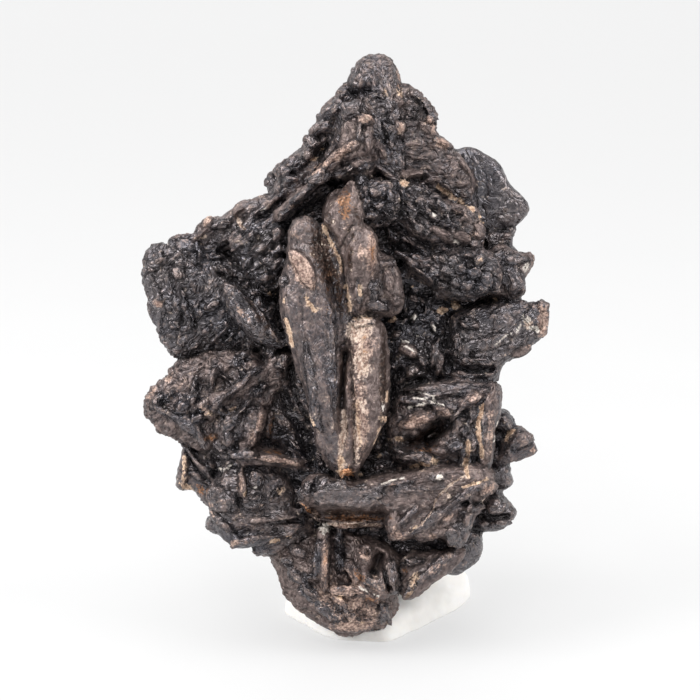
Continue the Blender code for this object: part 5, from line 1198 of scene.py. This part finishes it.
# %% The putty's lumps
# Each lump's height and squareness, and its outline on the table, in millimetres from the stone's tip.
PUTTY_LUMPS = [
    (9.0, 3.2, [(-16.5, 21), (-12, 12), (-5, 4), (3, 0.7), (12.5, 3), (20, 12), (28, 21), (31.5, 30),
                (30, 38), (22, 43), (8, 44.5), (-6, 42), (-14, 34)]),
    (27.0, 2.6, [(-12, 26), (-7, 17), (4, 13), (15, 16), (22, 26), (18, 37), (6, 41), (-7, 37)]),
]
PUTTY_SEGMENTS, PUTTY_RINGS = 60, 30
PUTTY_VOXEL, PUTTY_ROUNDS = 0.7, 6
points, faces = [], []
putty_sphere, putty_faces = unit_sphere(PUTTY_SEGMENTS, PUTTY_RINGS)
for height, square, outline in PUTTY_LUMPS:
    first = len(points)
    faces += [[first + i for i in face] for face in putty_faces]
    for x, y, _, rise in pillow(putty_sphere, PUTTY_SEGMENTS, outline, square):
        points.append(Vector((x - ORIGIN.x, y - ORIGIN.y, rise * height)) * MM)
putty = mesh_object("putty_wad", points, faces)
fuse(putty, PUTTY_VOXEL, PUTTY_ROUNDS)
print("putty lump:", len(putty.data.vertices), "points")

# %% Knead it
THUMB, THUMB_DEPTH = 9.0, 0.9  # millimetres, as are the rest
PLEAT, PLEAT_HEIGHT, PLEAT_BEND, PLEAT_DEPTH = 9.0, 3.5, 7.0, 0.55
NAIL, NAIL_DEPTH = 2.2, 0.12
PUTTY_SHRINK = 0.35


def knead(place):
    """The putty's dents and folds, in millimetres."""
    bend = 0.5 * noise.noise_vector(place / PLEAT_BEND)
    pleats = noise.noise(Vector((place.x / PLEAT, place.y / PLEAT, place.z / PLEAT_HEIGHT)) + bend)
    dents = THUMB_DEPTH * noise.noise(place / THUMB) + NAIL_DEPTH * noise.noise(place / NAIL)
    return dents + PLEAT_DEPTH * pleats - PUTTY_SHRINK


places = rows_of(putty.data.vertices, "co")
pushes = np.array([knead(Vector(place) / MM) for place in places])
kneaded = places + rows_of(putty.data.vertex_normals, "vector") * (pushes * MM)[:, None]
putty.data.vertices.foreach_set("co", kneaded.ravel())
putty.data.update()
print("kneaded by", round(float(pushes.min()), 2), "to", round(float(pushes.max()), 2), "mm")

# %% Cut it flat at the table
bm = bmesh.new()
bm.from_mesh(putty.data)
everything = [*bm.verts, *bm.edges, *bm.faces]
bmesh.ops.bisect_plane(bm, geom=everything, plane_co=(0, 0, 0), plane_no=(0, 0, 1), clear_inner=True)
bmesh.ops.contextual_create(bm, geom=[edge for edge in bm.edges if edge.is_boundary])
bm.to_mesh(putty.data)
bm.free()
print("above the table:", len(putty.data.vertices), "points")

# %% Press the stone's foot into it
PUTTY_GAP = 0.2  # millimetres
IMPRINT_RATIO = 0.12  # the share of the stone's triangles that the imprint keeps
imprint = bpy.data.objects.new("imprint", stone.data.copy())
bpy.context.scene.collection.objects.link(imprint)
imprint.modifiers.new("coarse", "DECIMATE").ratio = IMPRINT_RATIO
swell = imprint.modifiers.new("swell", "DISPLACE")
swell.strength = PUTTY_GAP * MM
swell.mid_level = 0.0
apply_modifiers(imprint)
cut = putty.modifiers.new("imprint", "BOOLEAN")
cut.operation = "DIFFERENCE"
cut.solver = "EXACT"
cut.use_self = True
cut.object = imprint
apply_modifiers(putty)
bpy.data.objects.remove(imprint)
drop_inner_shells(putty)
putty.data.name = "putty_wad"
putty.data.polygons.foreach_set("use_smooth", [True] * len(putty.data.polygons))
print("putty faces:", len(putty.data.polygons))

# %% [markdown]
# ## Colours and the nodes
#
# Colours are written as a paint chart gives them, and one function turns them linear. One more function adds
# a node with its settings and links, and hands back the socket that the next node takes. Every material here
# is measured in millimetres on the piece itself, so a pattern's scale is one over its real size.

# %% The helpers for materials


def linear(colour):
    """A colour such as "#c9a173" as linear red, green, blue and 1."""
    channels = [int(colour[i:i + 2], 16) / 255 for i in (1, 3, 5)]
    return tuple(c / 12.92 if c <= 0.04045 else ((c + 0.055) / 1.055) ** 2.4 for c in channels) + (1.0,)


def node(tree, kind, inputs=None, output=0, **settings):
    """Adds a node. Each input is a value, a colour's hex code, or the socket that it is linked from."""
    made = tree.nodes.new("ShaderNode" + kind)
    for name, value in settings.items():
        setattr(made, name, value)
    for name, value in (inputs or {}).items():
        if isinstance(value, bpy.types.NodeSocket):
            tree.links.new(value, made.inputs[name])
        else:
            made.inputs[name].default_value = linear(value) if isinstance(value, str) else value
    return made.outputs[output] if made.outputs else made


def new_material(name):
    """A material with no nodes but the piece's own coordinates, in millimetres."""
    made = bpy.data.materials.new(name)
    made.use_nodes = True
    made.node_tree.nodes.clear()
    place = node(made.node_tree, "TexCoord", output="Object")
    scaled = node(made.node_tree, "VectorMath", {0: place, "Scale": 1 / MM}, operation="SCALE")
    return made, made.node_tree, scaled


SMOOTH = {"interpolation_type": "SMOOTHSTEP"}  # a Map Range with this goes smoothly from 0 to its To Max

# %% [markdown]
# ## Iron oxide: goethite and hematite after marcasite
#
# The crust is goethite and hematite, the brown and black iron oxides, laid down in water where marcasite
# was. It is dense, and black iron oxide shines almost like a metal, so its metallic value is high and what
# it mirrors takes its own dark colour. Where the skin is worn or weathered it is limonite, a brown to ochre
# earth, and there it is matt. White specks are quartz and clay in the cracks.
#
# It starts with patterns: the numbers kept on the points, and four cloudy ones that run through the stone.

# %% The crust's patterns
GRAINS = {"speck": (0.55, 3.0), "dust": (0.8, 2.0), "patch": (2.2, 3.0), "cloud": (11.0, 2.0)}  # mm, detail
iron, tree, in_mm_node = new_material("iron_oxide_crust")
pattern = {name: node(tree, "Attribute", output="Fac", attribute_name=name) for name in FIELDS}
for name, (size, detail) in GRAINS.items():
    pattern[name] = node(tree, "TexNoise", {"Vector": in_mm_node, "Scale": 1 / size, "Detail": detail}, "Fac")
print("patterns:", ", ".join(pattern))

# %% [markdown]
# The folds too small for the mesh run the same way as its own. They are drawn out along each plate's heading
# and bent by a slow swirl, or they would look ruled. A fold's crease is where a cloudy pattern passes its
# middle value. A few small pillows are mixed in, and fibres follow the streaks.

# %% Folds and fibres
SWIRL_SIZE, SWIRL_REACH = 3.6, 4.5  # millimetres
FOLD_WIDTHS = {"broad_folds": 2.3, "middle_folds": 1.5, "fine_folds": 0.8}  # millimetres
PILLOW_WIDTH, FIBRE_WIDTH = 2.2, 0.55  # millimetres
FIBRE_SLIM = 0.09  # a fibre's width by its length
swirl = node(tree, "TexNoise", {"Vector": in_mm_node, "Scale": 1 / SWIRL_SIZE, "Detail": 0.0}, "Color")
shift = node(tree, "VectorMath", {0: swirl, 1: (0.5, 0.5, 0.5)}, operation="SUBTRACT")
drawn_out = node(tree, "Math", {0: pattern["along"], 1: 1 / FOLD_STRETCH}, operation="MULTIPLY")
deep = node(tree, "SeparateXYZ", {0: in_mm_node}, "Y")
laid = node(tree, "CombineXYZ", {"X": drawn_out, "Y": pattern["across"], "Z": deep})
bent = node(tree, "VectorMath", {0: shift, 1: [SWIRL_REACH] * 3, 2: laid}, operation="MULTIPLY_ADD")
for name, width in FOLD_WIDTHS.items():
    cloudy = node(tree, "TexNoise", {"Vector": bent, "Scale": 1 / width, "Detail": 0.0}, "Fac")
    past_middle = node(tree, "Math", {0: cloudy, 1: 0.5}, operation="SUBTRACT")
    off_middle = node(tree, "Math", {0: past_middle}, operation="ABSOLUTE")
    inputs = {"Value": off_middle, "From Min": -0.04, "From Max": 0.17}
    pattern[name] = node(tree, "MapRange", inputs, **SMOOTH)
inputs = {"Vector": bent, "Scale": 1 / PILLOW_WIDTH}
rim = node(tree, "TexVoronoi", inputs, "Distance", feature="DISTANCE_TO_EDGE")
pattern["pillows"] = node(tree, "MapRange", {"Value": rim, "From Min": -0.12, "From Max": 0.32}, **SMOOTH)
length = node(tree, "Math", {0: pattern["along"], 1: FIBRE_SLIM}, operation="MULTIPLY")
width = node(tree, "Math", {0: pattern["patch"], 1: 0.8, 2: pattern["across"]}, operation="MULTIPLY_ADD")
strands = node(tree, "CombineXYZ", {"X": length, "Y": width})
inputs = {"Vector": strands, "Scale": 1 / FIBRE_WIDTH, "Detail": 2.0, "Roughness": 0.6}
pattern["fibres"] = node(tree, "TexNoise", inputs, "Fac")
print("folds:", ", ".join(f"{name} {width} mm" for name, width in FOLD_WIDTHS.items()))

# %% [markdown]
# The rest are weighted sums. The black skin wears brown on ridges, which stand out, and an edge of wear or
# of a stain is ragged, because it creeps along the grain.

# %% Sums of patterns
SUMS = {  # what it starts from, and what is added with which weight
    "puckered": (0.0, {"pillows": 0.25, "broad_folds": 0.75}),
    "crinkled": (0.0, {"middle_folds": 0.8, "fine_folds": 0.2}),
    "folded": (0.0, {"puckered": 0.5, "crinkled": 0.6}),
    "ragged": (0.0, {"speck": 0.55, "patch": 0.75}),
    "ragged_edge": (-0.975, {"ragged": 1.5}),
    "worn": (0.0, {"fine_relief": 1.6, "broad_relief": 0.35}),
    "worn_edges": (0.0, {"worn": 1.0, "ragged": 0.6}),
    "worn_brown": (0.0, {"brown": 1.1, "worn": 0.2, "ragged": 1.0}),
    "mottle": (0.0, {"speck": 0.6, "patch": 0.4}),
}
for name, (total, weights) in SUMS.items():
    for part, weight in weights.items():
        total = node(tree, "Math", {0: pattern[part], 1: weight, 2: total}, operation="MULTIPLY_ADD")
    pattern[name] = total
print("sums:", ", ".join(SUMS))

# %% The skin's height
SPECK_HEIGHT = 0.03  # millimetres
HEIGHTS = [  # a pattern, the number that raises it, by how many millimetres, and its height without
    ("puckered", "pucker", 0.34, 0.08), ("crinkled", "pucker", 0.26, 0.08), ("fibres", "streak", 0.40, 0.0),
]
height = node(tree, "Math", {0: pattern["speck"], 1: SPECK_HEIGHT}, operation="MULTIPLY")
for name, where, most, least in HEIGHTS:
    strength = node(tree, "Math", {0: pattern[where], 1: most, 2: least}, operation="MULTIPLY_ADD")
    height = node(tree, "Math", {0: pattern[name], 1: strength, 2: height}, operation="MULTIPLY_ADD")
print("bumps up to", round(sum(most + least for *_, most, least in HEIGHTS) + SPECK_HEIGHT, 2), "mm")

# %% [markdown]
# The crust's colour is laid on in coats, as a painter would: black, then brown where edges are worn, brown
# where the plate is brown, and then each stain. The umber coat is partly painted shade, and the pale coats on
# the ledge's lip are partly painted light.

# %% Where the coats lie
BROWN_COAT = 0.8  # how much of the brown coat shows
EDGE = 0.2  # half the width of a stain's edge
STAIN_PAINTS = {  # the darker and the paler mottle, and how strong a stain has to be to show
    # The umber paints serve both dark brown crust and painted shade.
    "umber_and_shade": ("#2a1f1b", "#4c3931", 0.6), "tan": ("#82685e", "#c8ab9c", 0.58),
    "ochre": ("#b08d74", "#e8cbb0", 0.4), "cream": ("#a08272", "#e6d0bf", 0.6),
    "rust": ("#5e4333", "#a0714f", 0.6), "amber": ("#a9683f", "#efb487", 0.55),
    "white": ("#c9bdb2", "#eee6dc", 0.45),
}
tones = node(tree, "MapRange", {"Value": pattern["patch"], "From Min": 0.4, "From Max": 0.62}, **SMOOTH)
browns = node(tree, "Mix", {0: tones, 6: "#65544f", 7: "#8d7a74"}, 2, data_type="RGBA")
coats = [("edges", pattern["worn_edges"], 0.45, 0.95, 0.55, "#877873"),
         ("brown", pattern["worn_brown"], 0.75, 1.35, BROWN_COAT, browns)]
mottle = node(tree, "MapRange", {"Value": pattern["mottle"], "From Min": 0.42, "From Max": 0.6}, **SMOOTH)
for name, (dark, pale, threshold) in STAIN_PAINTS.items():
    strength = node(tree, "Math", {0: pattern[name], 1: pattern["ragged_edge"]}, operation="ADD")
    paint = node(tree, "Mix", {0: mottle, 6: dark, 7: pale}, 2, data_type="RGBA")
    coats.append((name, strength, threshold - EDGE, threshold + EDGE, 1.0, paint))
print("coats:", ", ".join(name for name, *_ in coats))

# %% Lay the coats
shades = node(tree, "MapRange", {"Value": pattern["cloud"], "From Min": 0.35, "From Max": 0.65}, **SMOOTH)
colour = node(tree, "Mix", {0: shades, 6: "#5c5a5f", 7: "#6a6567"}, 2, data_type="RGBA")
cover = {}
for name, where, low, high, most, paint in coats:
    inputs = {"Value": where, "From Min": low, "From Max": high, "To Max": most}
    cover[name] = node(tree, "MapRange", inputs, **SMOOTH)
    colour = node(tree, "Mix", {0: cover[name], 6: colour, 7: paint}, 2, data_type="RGBA")
print("laid:", len(cover), "coats")

# %% [markdown]
# A real crease is dark because its walls shade each other. Bump only tilts the surface and can't shade
# itself, so the creases and hollows are darkened in the colour too, but less under pale crusts, which fill
# them. Last comes dust, light and dark.

# %% Shade the creases
most = node(tree, "Math", {0: pattern["pucker"], 1: 0.8, 2: 0.3}, operation="MULTIPLY_ADD", use_clamp=True)
inputs = {"Value": pattern["folded"], "From Min": 0.68, "From Max": 0.25, "To Max": most}
crease = node(tree, "MapRange", inputs, **SMOOTH)
hidden = node(tree, "Math", {0: crease, 1: 0.85}, operation="MULTIPLY")
HOLLOWS = [("broad_relief", 0.1, -1.3, 0.7), ("fine_relief", 0.0, -0.28, 0.7)]  # millimetres, and how dark
for name, shallow, deep_enough, dark in HOLLOWS:
    inputs = {"Value": pattern[name], "From Min": shallow, "From Max": deep_enough, "To Max": dark}
    hidden = node(tree, "Math", {0: hidden, 1: node(tree, "MapRange", inputs, **SMOOTH)}, operation="MAXIMUM")
earthy = cover["ochre"]
for name in ("cream", "amber", "white"):
    earthy = node(tree, "Math", {0: earthy, 1: cover[name]}, operation="MAXIMUM")
shading = node(tree, "Math", {0: earthy, 1: -0.68, 2: 0.85}, operation="MULTIPLY_ADD")
hidden = node(tree, "Math", {0: hidden, 1: shading}, operation="MULTIPLY")
colour = node(tree, "Mix", {0: hidden, 6: colour, 7: "#181313"}, 2, data_type="RGBA")
DUSTS = [(0.56, 0.7, 0.25, "#aaa19b"), (0.45, 0.34, 0.42, "#1d1818")]  # light and dark
for low, high, most, paint in DUSTS:
    inputs = {"Value": pattern["dust"], "From Min": low, "From Max": high, "To Max": most}
    share = node(tree, "MapRange", inputs, **SMOOTH)
    colour = node(tree, "Mix", {0: share, 6: colour, 7: paint}, 2, data_type="RGBA")
print("shaded:", ", ".join(name for name, *_ in HOLLOWS), "and", len(DUSTS), "kinds of dust")

# %% [markdown]
# Smooth black crust is satin, near 0.2 in roughness. Brown limonite is rougher and less like metal, and the
# pale earths are matt and not metallic at all. The index is 1.5, as for the pitted skin of most minerals.

# %% Gloss, and the finished crust
ROUGHNESS, ROUGHNESS_SPREAD = 0.06, 0.4
LUSTRE = 0.8
limonite = node(tree, "Math", {0: cover["brown"], 1: 0.6 / BROWN_COAT}, operation="MULTIPLY")
for name in ("tan", "rust"):
    limonite = node(tree, "Math", {0: limonite, 1: cover[name]}, operation="MAXIMUM")
inputs = {0: pattern["patch"], 1: ROUGHNESS_SPREAD, 2: ROUGHNESS}
roughness = node(tree, "Math", inputs, operation="MULTIPLY_ADD")
for share, rougher in ((limonite, 0.25), (crease, 0.2), (earthy, 0.4)):
    inputs = {0: share, 1: rougher, 2: roughness}
    roughness = node(tree, "Math", inputs, operation="MULTIPLY_ADD", use_clamp=True)
lustre = node(tree, "Math", {0: limonite, 1: -0.55, 2: LUSTRE}, operation="MULTIPLY_ADD")
lustre = node(tree, "Math", {0: earthy, 1: -0.8, 2: lustre}, operation="MULTIPLY_ADD", use_clamp=True)
bump = node(tree, "Bump", {"Height": height, "Strength": 1.0, "Distance": MM})
shader = node(tree, "BsdfPrincipled", {
    "Base Color": colour, "Roughness": roughness, "IOR": 1.5, "Metallic": lustre, "Normal": bump})
node(tree, "OutputMaterial", {"Surface": shader})
stone.data.materials.append(iron)
print("iron oxide:", len(tree.nodes), "nodes")

# %% [markdown]
# ## White mounting putty
#
# The putty is chalk kneaded into synthetic rubber. It is matt, lets a little light in, and picks up faint
# grey from fingers. Its index is that of most plastics, about 1.5.

# %% The putty's material
putty_white, tree, in_mm_node = new_material("white_mounting_putty")
PUTTY_GRAINS = {  # millimetres, detail
    "smudge": (7.0, 3.0), "dent": (1.6, 3.0), "chalk": (0.3, 2.0), "sheen": (3.0, 2.0),
}
grain = {}
for name, (size, detail) in PUTTY_GRAINS.items():
    grain[name] = node(tree, "TexNoise", {"Vector": in_mm_node, "Scale": 1 / size, "Detail": detail}, "Fac")
inputs = {"Value": grain["smudge"], "From Min": 0.45, "From Max": 0.75, "To Max": 0.4}
share = node(tree, "MapRange", inputs, **SMOOTH)
colour = node(tree, "Mix", {0: share, 6: "#f7f4f0", 7: "#dedbd6"}, 2, data_type="RGBA")
dents = node(tree, "Math", {0: grain["dent"], 1: 0.2}, operation="MULTIPLY")
height = node(tree, "Math", {0: grain["chalk"], 1: 0.03, 2: dents}, operation="MULTIPLY_ADD")
bump = node(tree, "Bump", {"Height": height, "Strength": 0.35, "Distance": MM})
roughness = node(tree, "Math", {0: grain["sheen"], 1: 0.2, 2: 0.5}, operation="MULTIPLY_ADD")
shader = node(tree, "BsdfPrincipled", {
    "Base Color": colour, "Roughness": roughness, "IOR": 1.5, "Subsurface Weight": 0.3,
    "Subsurface Radius": (0.002, 0.0018, 0.0015), "Subsurface Scale": 1.0, "Normal": bump})
node(tree, "OutputMaterial", {"Surface": shader})
putty.data.materials.clear()
putty.data.materials.append(putty_white)
putty.data.polygons.foreach_set("material_index", [0] * len(putty.data.polygons))
print("putty:", len(tree.nodes), "nodes")

# %% [markdown]
# ## Riding the frame
#
# Both pieces stand still on the one body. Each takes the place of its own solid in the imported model.

# %% Tie the pieces to the frame
for piece, solid, material_slot in ((stone, "stone", "iron_oxide"), (putty, "putty", "putty")):
    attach(piece, "root")
    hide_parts(solid)
    print(piece.name, "takes the place of", solid)

# %% [markdown]
# ## The table and the light
#
# The stone stands on a white table that curves up into a wall, in a bright room. A dark stone shows its shape
# by what it mirrors, so the softboxes are large: one overhead, a window-like one at the left, a weaker one at
# the right and one in front, above the camera. The table and the wall are one sheet of white acrylic that
# glows evenly, as if lit from below, so that shadows on it are faint. Its colour is painted darker towards the
# wall, as painted shade.

# %% Table and wall
TABLE_HALF, WALL_BACK, WALL_HEIGHT, COVE = 1.6, 0.75, 1.8, 0.25  # metres
COVE_STEPS = 12
profile = [(-TABLE_HALF, 0.0)]
for i in range(COVE_STEPS + 1):
    turn = math.pi / 2 * i / COVE_STEPS
    profile.append((WALL_BACK - COVE + COVE * math.sin(turn), COVE - COVE * math.cos(turn)))
profile.append((WALL_BACK, WALL_HEIGHT))
points = [Vector((side * TABLE_HALF, y, z)) for y, z in profile for side in (-1, 1)]
faces = [[2 * i, 2 * i + 1, 2 * i + 3, 2 * i + 2] for i in range(len(profile) - 1)]
floor = mesh_object("table_and_wall", points, faces)
floor.data.polygons.foreach_set("use_smooth", [True] * len(floor.data.polygons))
print("table and wall:", len(faces), "faces")

# %% The lit acrylic
acrylic, tree, in_mm_node = new_material("lit_acrylic")
DAPPLE, WALL_SHADE_LENGTH, GLOW = 60.0, 450.0, 0.55  # millimetres, millimetres, emission strength
dapple = node(tree, "TexNoise", {"Vector": in_mm_node, "Scale": 1 / DAPPLE, "Detail": 2.0}, "Fac")
share = node(tree, "MapRange", {"Value": dapple, "From Min": 0.3, "From Max": 0.7}, **SMOOTH)
colour = node(tree, "Mix", {0: share, 6: "#878787", 7: "#8a8a8a"}, 2, data_type="RGBA")
# Painted shade: the colour darkens from under the stone back towards the wall.
far = node(tree, "SeparateXYZ", {0: in_mm_node}, "Y")
share = node(tree, "MapRange", {"Value": far, "From Min": 0.0, "From Max": WALL_SHADE_LENGTH}, **SMOOTH)
colour = node(tree, "Mix", {0: share, 6: colour, 7: "#7c7c7c"}, 2, data_type="RGBA")
shader = node(tree, "BsdfPrincipled", {
    "Base Color": colour, "Roughness": 0.6, "IOR": 1.3, "Emission Color": "#ffffff",
    "Emission Strength": GLOW})
node(tree, "OutputMaterial", {"Surface": shader})
floor.data.materials.append(acrylic)
print("acrylic:", len(tree.nodes), "nodes")
floor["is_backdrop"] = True

# %% Lights
world = bpy.data.worlds.new("bright_room")
bpy.context.scene.world = world
world.use_nodes = True
sky = world.node_tree.nodes["Background"].inputs
sky["Color"].default_value = linear("#f4f6f8")
sky["Strength"].default_value = 0.32
TARGET = Vector((0, 0, 0.07))
SOFTBOXES = {  # the place in metres, the side in metres and the power in watts
    "top": ((-0.1, -0.1, 1.3), 1.5, 18.0), "left": ((-1.0, -0.35, 0.75), 0.65, 11.0),
    "right": ((1.05, -0.3, 0.6), 0.7, 8.0), "front": ((-0.3, -1.3, 1.3), 1.0, 8.5),
}
for name, (place, side, power) in SOFTBOXES.items():
    lamp = bpy.data.lights.new(name, "AREA")
    lamp.shape = "SQUARE"
    lamp.size = side
    lamp.energy = power
    softbox = bpy.data.objects.new(name, lamp)
    bpy.context.scene.collection.objects.link(softbox)
    softbox.location = place
    softbox.rotation_euler = (TARGET - Vector(place)).to_track_quat("-Z", "Y").to_euler()
bpy.context.scene.view_settings.view_transform = "Standard"
print("softboxes:", ", ".join(SOFTBOXES))

# %% [markdown]
# ## The camera
#
# A long lens, looking down at 20 degrees, square on to the board that the stone was drawn on. Far off, it
# keeps the drawing's proportions, and its distance makes the sheet of squared paper fill the picture.

# %% The camera
LENS, SENSOR = 200.0, 36.0  # millimetres
distance = PAGE * SQUARE * MM * LENS / SENSOR
centre = on_board((PAGE / 2 - TIP_COLUMN) * SQUARE, 0, 0) + UP_BOARD * ((TIP_ROW - PAGE / 2) * SQUARE * MM)
camera_data = bpy.data.cameras.new("camera")
camera_data.lens, camera_data.sensor_width = LENS, SENSOR
camera = bpy.data.objects.new("camera", camera_data)
bpy.context.scene.collection.objects.link(camera)
camera.location = centre - AWAY * distance
camera.rotation_euler = AWAY.to_track_quat("-Z", "Y").to_euler()
bpy.context.scene.camera = camera
print("camera at", [round(c, 3) for c in camera.location], "m")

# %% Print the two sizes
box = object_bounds()
for label, (low, high) in (("packed", cad_box), ("visual", box)):
    print(label, [round(c / MM, 1) for c in low], [round(c / MM, 1) for c in high])
